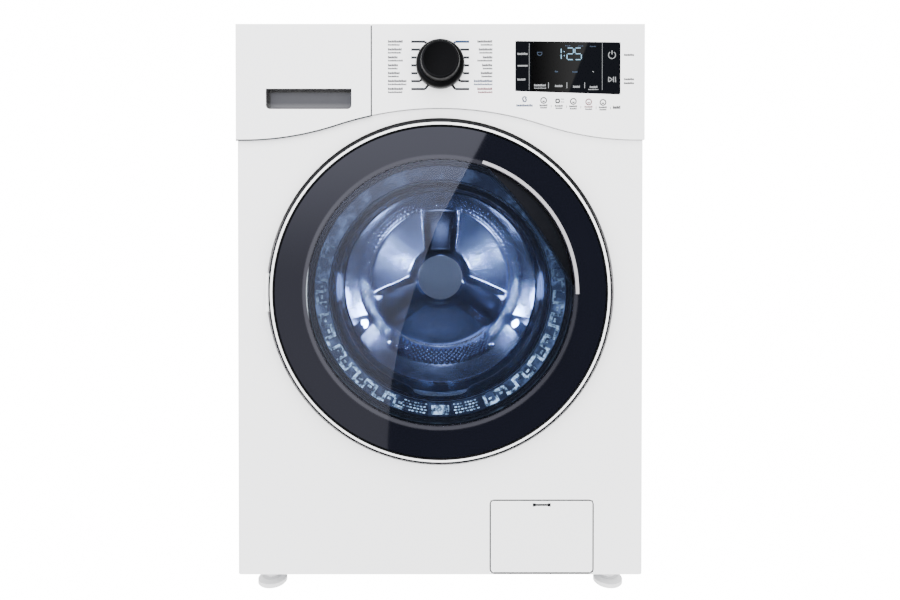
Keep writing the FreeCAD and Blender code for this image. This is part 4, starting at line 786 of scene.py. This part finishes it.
class WASHER_OT_drawer(Piece):
    """Line the drawer handle's hollow and shade the seams round the drawer"""

    bl_idname = "washer.drawer"
    bl_label = "Drawer"

    def make(self):
        left, right, low, high = -255.4 * MM, -130.4 * MM, 725.9 * MM, 755.2 * MM
        front, back = CONSOLE_Y + 0.4 * MM, CONSOLE_Y + 15.6 * MM
        mesh = bmesh.new()
        size = Matrix.Diagonal((right - left, back - front, high - low, 1))
        centre = Vector(((left + right) / 2, (front + back) / 2, (low + high) / 2))
        bmesh.ops.create_cube(mesh, size=1, matrix=Matrix.Translation(centre) @ size)
        mouth = [f for f in mesh.faces if f.normal.y < -0.9]
        bmesh.ops.delete(mesh, geom=mouth, context="FACES_ONLY")
        lower = [e for e in mesh.edges if all(v.co.z < centre.z for v in e.verts)]
        corners = [e for e in lower if abs(e.verts[0].co.y - e.verts[1].co.y) > 5 * MM]
        rounded(mesh, corners, 6 * MM, 6)
        inner = [e for e in mesh.edges if all(v.co.y > back - 1e-5 for v in e.verts)]
        rounded(mesh, inner, 4 * MM, 5)
        bmesh.ops.solidify(mesh, geom=mesh.faces[:], thickness=0.25 * MM)
        piece("drawer_handle_liner", mesh, self.hollow(), "drawer")
        self.seams()

    def hollow(self):
        """Grey plastic with painted shade and light: darker in the upper half of the hollow and along its
        bottom edge, lighter in the lower half.
        """

        def make(tree):
            _, _, z = place(tree)
            base = settings().recess
            # Painted light on the lower half of the hollow, painted shade on the upper half.
            tint = blend(tree, z.step(0.7330, 0.7385), tuple(shade(base, 1.6)), tuple(shade(base, 0.70)))
            # Painted shade along the bottom edge of the hollow.
            edge = z.step(0.7290, 0.7262)
            tint = blend(tree, edge, tint, tuple(shade(base, 0.75)))
            return coated(tree, tint, noise(tree, 80.0) * 0.09 + 0.26)

        return finish("recess_grey", make)

    def seams(self):
        """Painted shadow: a dark strip along the upright seam beside the drawer and the curved one below
        it.
        """
        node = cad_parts["drawer_front"]
        points = [node.matrix_world @ vert.co for vert in node.data.vertices]
        skin = [p for p in points if p.y < CONSOLE_Y + 0.1 * MM and p.z < 724 * MM]
        width = sizes().seam_line
        lowest = {}
        for p in skin:
            key = round(p.x / (2 * MM))
            lowest[key] = min(lowest.get(key, p), p, key=lambda q: q.z)
        edge = [(p.x, p.z - width / 2) for _, p in sorted(lowest.items())]
        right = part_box("drawer_front")[1][0] + width / 2
        low = edge[-1][1]
        mesh = bmesh.new()
        points = [*edge, (right, low), (right, 848 * MM)]
        path(mesh, points, width, CONSOLE_Y - 0.05 * MM, CONSOLE_Y + 0.5 * MM)
        piece("drawer_seam_shade", mesh, painted_seam_shadow(), "cabinet", smooth=False)


class WASHER_OT_door(Piece):
    """Finish the door's glass, ring and frames"""

    bl_idname = "washer.door"
    bl_label = "Door"

    def make(self):
        paint(("door_cover_glass",), cover_glass())
        paint(("door_glass_bowl",), bowl_glass())
        paint(("door_ring",), ring_silver())
        # Painted shadow: a black ring on the door's edge stands in for the dark gap round the door ring.
        section = ((-272, 247.3), (-276, 248.2), (-276.4, 249), (-276.2, 250.5), (-272, 250.9))
        gap_shadow = turned([(y * MM, r * MM) for y, r in section])
        piece("door_gap_shadow_ring", gap_shadow, rubber("gap_shadow_black", (0.002, 0.002, 0.002)), "door")
        paint(("door_handle_strip",), plastic("strip_silver", (0.30, 0.29, 0.31), 0.3, depth=0))
        black = plastic("door_black", (0.0012, 0.0012, 0.0022), 0.35, depth=0)
        paint(("door_front_frame", "door_rear_frame", "door_grip_cup"), black)
        self.light_ring()

    def light_ring(self):
        """The moulded ring round the bowl, with its bars and dashes, which glows as painted light in place
        of the drum's light that it catches.
        """
        front, back = -257.4 * MM, -255.4 * MM
        inner, outer = 166.2 * MM, 187.4 * MM
        section = ((0, 0), (0.8 * MM, 1 * MM))
        half = [(back - rise, inner + step) for rise, step in section]
        half += [(back - rise, outer - step) for rise, step in reversed(section)]
        band = turned(half)
        piece("door_light_band", band, self.band_glow(), "door")
        bars, step = bmesh.new(), 360 / 64
        for i in range(64):
            angle = i * step
            if 250 < angle < 290 or 24 < angle < 156:
                continue
            self.block(bars, angle, inner + 2.5 * MM, outer - 2.5 * MM, step * 0.24, front, back)
            low = inner + 1.6 * MM if i % 2 else outer - 6.4 * MM
            self.block(bars, angle + step / 2, low, low + 4.6 * MM, step * 0.8, front, back)
            if i % 3:
                dash = (inner + 8.5 * MM, inner + 11.5 * MM, step * 0.35)
                self.block(bars, angle + step / 2, *dash, front, back)
        for side in (-1, 1):
            for column in range(7):
                for row in range(4):
                    angle = 270 + side * (7.2 + column * 1.75 + 0.5 * (row % 2))
                    low = inner + (2.6 + row * 4.3) * MM
                    self.block(bars, angle, low, low + 1.8 * MM, 1.2, front, back)
        self.block(bars, 270, inner + 3.5 * MM, inner + 17.5 * MM, 8.6, front, back)
        piece("door_light_bars", bars, self.bar_glow(), "door", smooth=False, bevel=0.5 * MM)
        # Painted highlight: a thin rim round the bowl glows, though it is no lamp.
        profile = ((-254.9, 163.9), (-257.4, 163.9), (-257.9, 164.3), (-257.4, 164.8), (-254.9, 164.8))
        rim = turned([(y * MM, r * MM) for y, r in profile])
        piece("door_bowl_rim", rim, glowing("rim_glow", (0.03, 0.05, 0.09), 0.12), "door")

    def block(self, mesh, angle, inner, outer, width, front, back):
        turn = Matrix.Rotation(-math.radians(angle), 4, "Y")
        radius = (inner + outer) / 2
        size = Matrix.Diagonal((outer - inner, back - front, radius * math.radians(width), 1))
        spot = Matrix.Translation(AXIS) @ turn @ Matrix.Translation((radius, (front + back) / 2, 0))
        bmesh.ops.create_cube(mesh, size=1, matrix=spot @ size)

    def band_glow(self):
        """Clear moulding glowing as painted light: dim blue, brighter in patches and towards the sides."""

        def make(tree):
            _, x, _ = from_axis(tree)
            patches = noise(tree, 38.0, 3.0, 0.6).step(0.45, 0.72)
            side = (x * x).math("SQRT").step(0.04, 0.17)
            level = patches * (side * 0.5 + 0.3) + side * 0.12
            tint = blend(tree, level, (0.008, 0.012, 0.03), (0.20, 0.30, 0.55))
            return lit(tree, (0.002, 0.003, 0.006), 0.15, tint, 1.0)

        return finish("band_glow", make)

    def bar_glow(self):
        """Edges of the moulding, glowing as painted light, brightest low down."""

        def make(tree):
            _, _, z = from_axis(tree)
            low = (z * -1.0).step(-0.06, 0.13)
            patches = noise(tree, 70.0, 4.0, 0.7).step(0.36, 0.60)
            level = patches * (low * 0.75 + 0.25)
            tint = blend(tree, level * level, (0.003, 0.005, 0.014), (0.50, 0.74, 1.0))
            return lit(tree, (0.01, 0.015, 0.03), 0.15, tint, 2.6)

        return finish("bar_glow", make)


class WASHER_OT_gasket(Piece):
    """Fold the door gasket"""

    bl_idname = "washer.gasket"
    bl_label = "Door Gasket"

    def make(self):
        front, back = front_of("door_gasket"), back_of("door_gasket")
        section = (
            (0, 177.8), (0, 167), (0.8, 165.4), (4, 164.2), (10, 164.6), (15, 168.5), (19, 169.5),
            (22, 166), (24, 161.5), (28, 158.8), (33, 158.3), (-4, 158.8), (-0.01, 159.6),
            (-0.01, 163.4), (36, 163.4), (30, 165), (26, 171.5), (21, 175), (14, 174), (9, 170),
            (9, 174.7), (1.1, 174.7), (1.1, 177.8), (0, 177.8),
        )
        mesh = turned([((back if y < 0 else front) + y * MM, radius * MM) for y, radius in section])
        for vert in mesh.verts:
            x, z = vert.co.x, vert.co.z - AXIS.z
            off = abs(math.degrees(math.atan2(x, -z)))
            inner = smooth(172 * MM, 160 * MM, math.hypot(x, z))
            push = 1 + 0.055 * smooth(19, 12, off) * inner
            vert.co.x, vert.co.z = x * push, AXIS.z + z * push
        skin = rubber("gasket_rubber", (0.013, 0.014, 0.017), 0.4)
        made = piece("door_gasket_folds", mesh, skin, "cabinet")
        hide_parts("door_gasket")


class WASHER_OT_drum(Piece):
    """Press and pierce the drum"""

    bl_idname = "washer.drum"
    bl_label = "Drum"

    def make(self):
        steel = drum_steel()
        self.shell(steel)
        self.back(steel)
        paint(("drum_lifters",), steel)

    def shell(self, steel):
        lip = 155.2 * MM
        wall = DRUM_RADIUS - 1.2 * MM
        bands = 44
        profile = [(DRUM_FRONT + 7 * MM, lip), (DRUM_FRONT + 2 * MM, lip)]
        profile += [(DRUM_FRONT + 0.2 * MM, lip + 2 * MM)]
        profile += [(DRUM_FRONT + 1.2 * MM, lip + 12 * MM), (DRUM_FRONT + 5 * MM, lip + 26 * MM)]
        profile += [(DRUM_FRONT + 14 * MM, wall - 2 * MM)]
        start = DRUM_FRONT + 17 * MM
        profile += [(start + (DRUM_SHELL_BACK - start) * i / bands, wall) for i in range(bands + 1)]
        mesh = turned(profile, steps=240)
        rows = [
            f for f in mesh.faces
            if f.calc_center_median().y > start + 8 * MM and self.pierced(f.calc_center_median(), start)
        ]
        self.dimples(mesh, rows, 1)
        made = piece("drum_shell_pierced", mesh, steel, "drum")
        skin = made.modifiers.new("Solidify", "SOLIDIFY")
        skin.thickness, skin.offset = 0.6 * MM, 0
        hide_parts("drum_shell")

    def pierced(self, point, start):
        """Every other cell, in staggered rows between the lifters."""
        turn = math.degrees(math.atan2(point.z - AXIS.z, point.x)) % 360
        row = int((point.y - start) / (5.7 * MM))
        column = int(turn / 1.5)
        clear = all(abs((turn - lifter + 180) % 360 - 180) > 9 for lifter in (90, 210, 330))
        return clear and row % 2 == 0 and (column + row) % 2 == 0 and column % 20 > 3

    def dimples(self, mesh, faces, side):
        """Sinks a small cup into each face."""
        bmesh.ops.inset_individual(mesh, faces=faces, thickness=0.9 * MM, depth=0.0)
        for face in faces:
            away = face.normal * sizes().dimple * side
            bmesh.ops.translate(mesh, verts=face.verts[:], vec=away)

    def back(self, steel):
        rings, steps = 60, 200
        outer = DRUM_RADIUS - 1.5 * MM
        mesh = turned([(0.0, outer * i / rings) for i in range(rings + 1)], steps=steps)
        for vert in mesh.verts:
            vert.co.y = self.depth(Vector((vert.co.x, vert.co.z - AXIS.z)))
        holes = [f for f in mesh.faces if self.punched(f.calc_center_median(), outer / rings, 360 / steps)]
        self.dimples(mesh, holes, self.outward(holes))
        made = piece("drum_back_pressed", mesh, steel, "drum")
        rounding = made.modifiers.new("Subdivision", "SUBSURF")
        rounding.levels = rounding.render_levels = 1
        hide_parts("drum_back")
        face = self.hub_depth()
        profile = [(face - 1.6 * MM, 0.0), (face - 1.6 * MM, 44.5 * MM), (face - 0.9 * MM, 46.5 * MM)]
        hub = turned([*profile, (face + 1.5 * MM, 47.5 * MM)], steps=120)
        piece("drum_hub_cap", hub, plastic("hub_grey", (0.15, 0.135, 0.115), 0.6), "drum")

    def outward(self, faces):
        return 1 if faces and faces[0].normal.y > 0 else -1

    def hub_depth(self):
        return DRUM_BACK - 2 * MM - sizes().arm_rise

    def punched(self, point, ring_step, turn_step):
        """Staggered cups in two bands round the back."""
        radius = math.hypot(point.x, point.z - AXIS.z)
        turn = math.degrees(math.atan2(point.z - AXIS.z, point.x)) % 360
        ring, column = int(radius / ring_step), int(turn / turn_step)
        low_down = 232 < turn < 308
        band = (157, 184) if low_down else (153, 172)
        return band[0] * MM < radius < band[1] * MM and (ring + column) % 2 == 0

    def depth(self, spot):
        """Y of the pressed back at a point measured from the axis."""
        radius, turn = spot.length, math.degrees(math.atan2(spot.y, spot.x))
        flat, cone, rim = DRUM_BACK - 2 * MM, 157 * MM, DRUM_RADIUS
        if radius > cone:
            share = (radius - cone) / (rim - cone)
            return flat - 4 * MM - (DRUM_BACK - DRUM_SHELL_BACK - 7 * MM) * share
        hub = sizes().hub_radius
        away = min(abs((turn - arm + 180) % 360 - 180) for arm in (90, 210, 330))
        across = radius * math.sin(math.radians(min(away, 90)))
        half = (19 + 16 * (radius / cone) ** 2) * MM
        raised = smooth(half + 13 * MM, half - 5 * MM, across) if away < 90 else 0.0
        rise = sizes().arm_rise * (1 - 0.95 * max(0.0, radius - hub) / (cone - hub))
        rise *= 0.4 if abs(turn - 90) < 60 else 1.0
        edge = smooth(cone, cone - 12 * MM, radius)
        collar = smooth(hub + 16 * MM, hub, radius)
        lobe = -5 * MM * math.sin(math.pi * min(1, max(0, (radius - hub) / (cone - hub)))) * (1 - raised)
        forward = max(raised * rise * edge, collar * sizes().arm_rise)
        return flat - 4 * MM * (1 - edge) - forward - lobe * edge * 0.6


class WASHER_OT_flap(Piece):
    """Shade the filter flap's slot and the seam round it"""

    bl_idname = "washer.flap"
    bl_label = "Filter Flap"

    def make(self):
        low, high = (Vector(c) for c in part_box("filter_flap"))
        centre, height = (low.x + high.x) / 2, high.z - 5.8 * MM
        slot = bmesh.new()
        front, back = low.y - 0.05 * MM, low.y + 0.1 * MM
        # Painted shade: black strips lie where the flap's finger slot is.
        stroke(slot, (centre - 13 * MM, height), (centre + 13 * MM, height), 2.9 * MM, front, back)
        for side in (-1, 1):
            x = centre + side * 11.4 * MM
            stroke(slot, (x - 1.9 * MM, height), (x + 1.9 * MM, height), 4.8 * MM, front - 0.02 * MM, back)
        black = plastic("slot_painted_shade", (0.002, 0.002, 0.002), depth=0)
        piece("flap_slot_shade", slot, black, "flap", smooth=False)
        face = front_of("front_panel")
        seam = bmesh.new()
        width, corner = sizes().seam_line, 6 * MM
        left, right = low.x - width / 2, high.x + width / 2
        foot, top = 40.8 * MM - width / 2, high.z + width / 2
        points = []
        for x, z, start in ((right, top, 0), (left, top, 90), (left, foot, 180), (right, foot, 270)):
            inward_x, inward_z = (x > centre) * -2 + 1, (z > height) * -2 + 1
            for i in range(5):
                angle = math.radians(start + 90 * i / 4)
                spot = (x + inward_x * corner, z + inward_z * corner)
                points.append((spot[0] + corner * math.cos(angle), spot[1] + corner * math.sin(angle)))
        # Painted shadow: a dark strip in the seam round the flap.
        path(seam, [*points, points[0]], width, face - 0.05 * MM, face + 0.8 * MM)
        piece("flap_seam_shade", seam, painted_seam_shadow(), "cabinet", smooth=False)


class WASHER_OT_studio(Piece):
    """Set up the floor, lights and camera"""

    bl_idname = "washer.studio"
    bl_label = "Studio"

    def make(self):
        self.floor()
        self.cards()
        self.lights()
        self.camera()

    def plane(self, name, corners, material):
        """A flat card, which gives no light to matt surfaces."""
        mesh = bmesh.new()
        mesh.faces.new([mesh.verts.new(c) for c in corners])
        data = bpy.data.meshes.new(name)
        mesh.to_mesh(data)
        mesh.free()
        data.materials.append(material)
        made = bpy.data.objects.new(name, data)
        made.visible_diffuse = False
        bpy.context.scene.collection.objects.link(made)
        return made

    def floor(self):
        def make(tree):
            glow = noise(tree, 0.5) * 0.5 + 16.0
            return tree.node("Emission", Color=(1, 1, 1), Strength=glow).outputs[0]

        white = finish("floor_white", make)
        far, side, top = 6.0, 12.0, 9.0
        flat = [(-side, -far, 0), (side, -far, 0), (side, far, 0), (-side, far, 0)]
        upright = [(-side, far, 0), (side, far, 0), (side, far, top), (-side, far, top)]
        for name, corners in (("floor", flat), ("back_wall", upright)):
            self.plane(name, corners, white).visible_glossy = False

    def cards(self):
        """Two cards behind the camera that meet along a slanting edge. The glass mirrors both."""

        def grey(tree):
            _, _, z = place(tree)
            level = z.step(0.40, 0.88) * 1.6 + 1.15
            return tree.node("Emission", Color=(0.90, 0.92, 1.12), Strength=level).outputs[0]

        def black(tree):
            level = noise(tree, 1.0) * 0.1 + 0.26
            return tree.node("Emission", Color=(0.6, 0.7, 1.0), Strength=level).outputs[0]

        y, low, high, side = -1.3, -0.8, 2.2, 2.4
        edge = [(-0.17, low), (-0.166, -0.09), (-0.157, 0.066), (-0.127, 0.241)]
        edge += [(-0.081, 0.388), (-0.010, 0.592), (0.118, 0.826), (0.165, 0.915)]
        edge += [(0.195, 0.97), (0.195, 1.3), (0.6, high)]
        meeting = [(x, y, z) for x, z in edge]
        leftward = [*meeting, (-side, y, high), (-side, y, low)]
        rightward = [*meeting, (side, y, high), (side, y, low)]
        glare = [(x, y + 0.01, z) for x, z in ((0.287, 0.96), (0.389, 0.96), (0.484, 1.21), (0.287, 1.21))]

        def pale(tree):
            x, _, _ = place(tree)
            level = x.step(0.28, 0.45) + 0.05
            return tree.node("Emission", Color=(1, 1, 1), Strength=level).outputs[0]

        for name, corners, material in (
            ("card_left", leftward, finish("card_grey", grey)),
            ("card_right", rightward, finish("card_black", black)),
            ("card_glare", glare, finish("card_pale", pale)),
        ):
            self.plane(name, corners, material).visible_camera = False

    def lights(self):
        """A bright room that polished surfaces see dimly, a softbox and the lamps in the drum."""
        world = bpy.data.worlds.new("studio")
        bpy.context.scene.world = world
        tree = Tree(world)
        polished = Wire(tree, tree.node("LightPath").outputs["Is Glossy Ray"])
        level = polished * -3.4 + 4.1
        room = tree.node("Background", Color=(1, 1, 1), Strength=level)
        tree.links.new(room.outputs[0], tree.node("OutputWorld").inputs[0])
        softbox = self.area("softbox", (0.0, -1.6, 2.2), (0, -0.3, 0.8), 110.0, 2.03, (1, 1, 1))
        softbox.visible_glossy = False
        lamp = tuple(settings().lamp)
        for name, spot, target, power, size in (
            ("drum_lamp_left", (-0.148, -0.150, 0.507), (0.14, 0.12, 0.42), 0.7, 0.018),
            ("drum_lamp_right", (0.148, -0.150, 0.507), (-0.14, 0.12, 0.42), 0.7, 0.018),
            ("drum_lamp_top", (0.0, -0.13, 0.60), (0.0, 0.14, 0.42), 0.09, 0.05),
            ("side_lamp_left", (-0.170, 0.070, 0.418), (-0.228, 0.115, 0.412), 0.22, 0.05),
            ("side_lamp_right", (0.170, 0.070, 0.418), (0.228, 0.115, 0.412), 0.22, 0.05),
            ("upper_lamp_left", (-0.05, 0.02, 0.50), (-0.16, 0.115, 0.53), 0.05, 0.02),
            ("upper_lamp_right", (0.05, 0.02, 0.50), (0.16, 0.115, 0.53), 0.05, 0.02),
        ):
            self.area(name, spot, target, power, size, lamp)

    def area(self, name, spot, target, power, size, tint):
        data = bpy.data.lights.new(name, "AREA")
        data.shape = "DISK"
        data.energy, data.size, data.color = power, size, tint
        made = bpy.data.objects.new(name, data)
        made.location = spot
        made.rotation_euler = (Vector(target) - Vector(spot)).to_track_quat("-Z", "Y").to_euler()
        bpy.context.scene.collection.objects.link(made)
        return made

    def camera(self):
        data = bpy.data.cameras.new("camera")
        data.lens, data.sensor_width = 23.86, 36
        data.shift_x, data.shift_y = 0.0109, -0.0562
        data.clip_start = 0.05
        made = bpy.data.objects.new("camera", data)
        made.location = (0, -1.1443, 0.5266)
        made.rotation_euler = (math.pi / 2 - 0.0079, 0, 0)
        bpy.context.scene.collection.objects.link(made)
        bpy.context.scene.camera = made


OPERATORS = (
    WASHER_OT_cabinet,
    WASHER_OT_works,
    WASHER_OT_knob,
    WASHER_OT_console_print,
    WASHER_OT_display,
    WASHER_OT_drawer,
    WASHER_OT_door,
    WASHER_OT_gasket,
    WASHER_OT_drum,
    WASHER_OT_flap,
    WASHER_OT_studio,
)


class WASHER_PT_panel(bpy.types.Panel):
    """Lists the pieces in the sidebar"""

    bl_idname = "WASHER_PT_panel"
    bl_label = "Washing Machine"
    bl_space_type = "VIEW_3D"
    bl_region_type = "UI"
    bl_category = "Washer"

    def draw(self, context):
        for group in (context.scene.washer_colours, context.scene.washer_sizes):
            for name in group.__annotations__:
                self.layout.prop(group, name)
        for operator in OPERATORS:
            self.layout.operator(operator.bl_idname)


CLASSES = (WASHER_PG_colours, WASHER_PG_sizes, *OPERATORS, WASHER_PT_panel)


def register():
    for cls in CLASSES:
        bpy.utils.register_class(cls)
    bpy.types.Scene.washer_colours = PointerProperty(type=WASHER_PG_colours)
    bpy.types.Scene.washer_sizes = PointerProperty(type=WASHER_PG_sizes)


def unregister():
    del bpy.types.Scene.washer_sizes
    del bpy.types.Scene.washer_colours
    for cls in reversed(CLASSES):
        bpy.utils.unregister_class(cls)


def main():
    register()
    for operator in OPERATORS:
        group, name = operator.bl_idname.split(".")
        getattr(getattr(bpy.ops, group), name)()


if __name__ == "__main__":
    main()
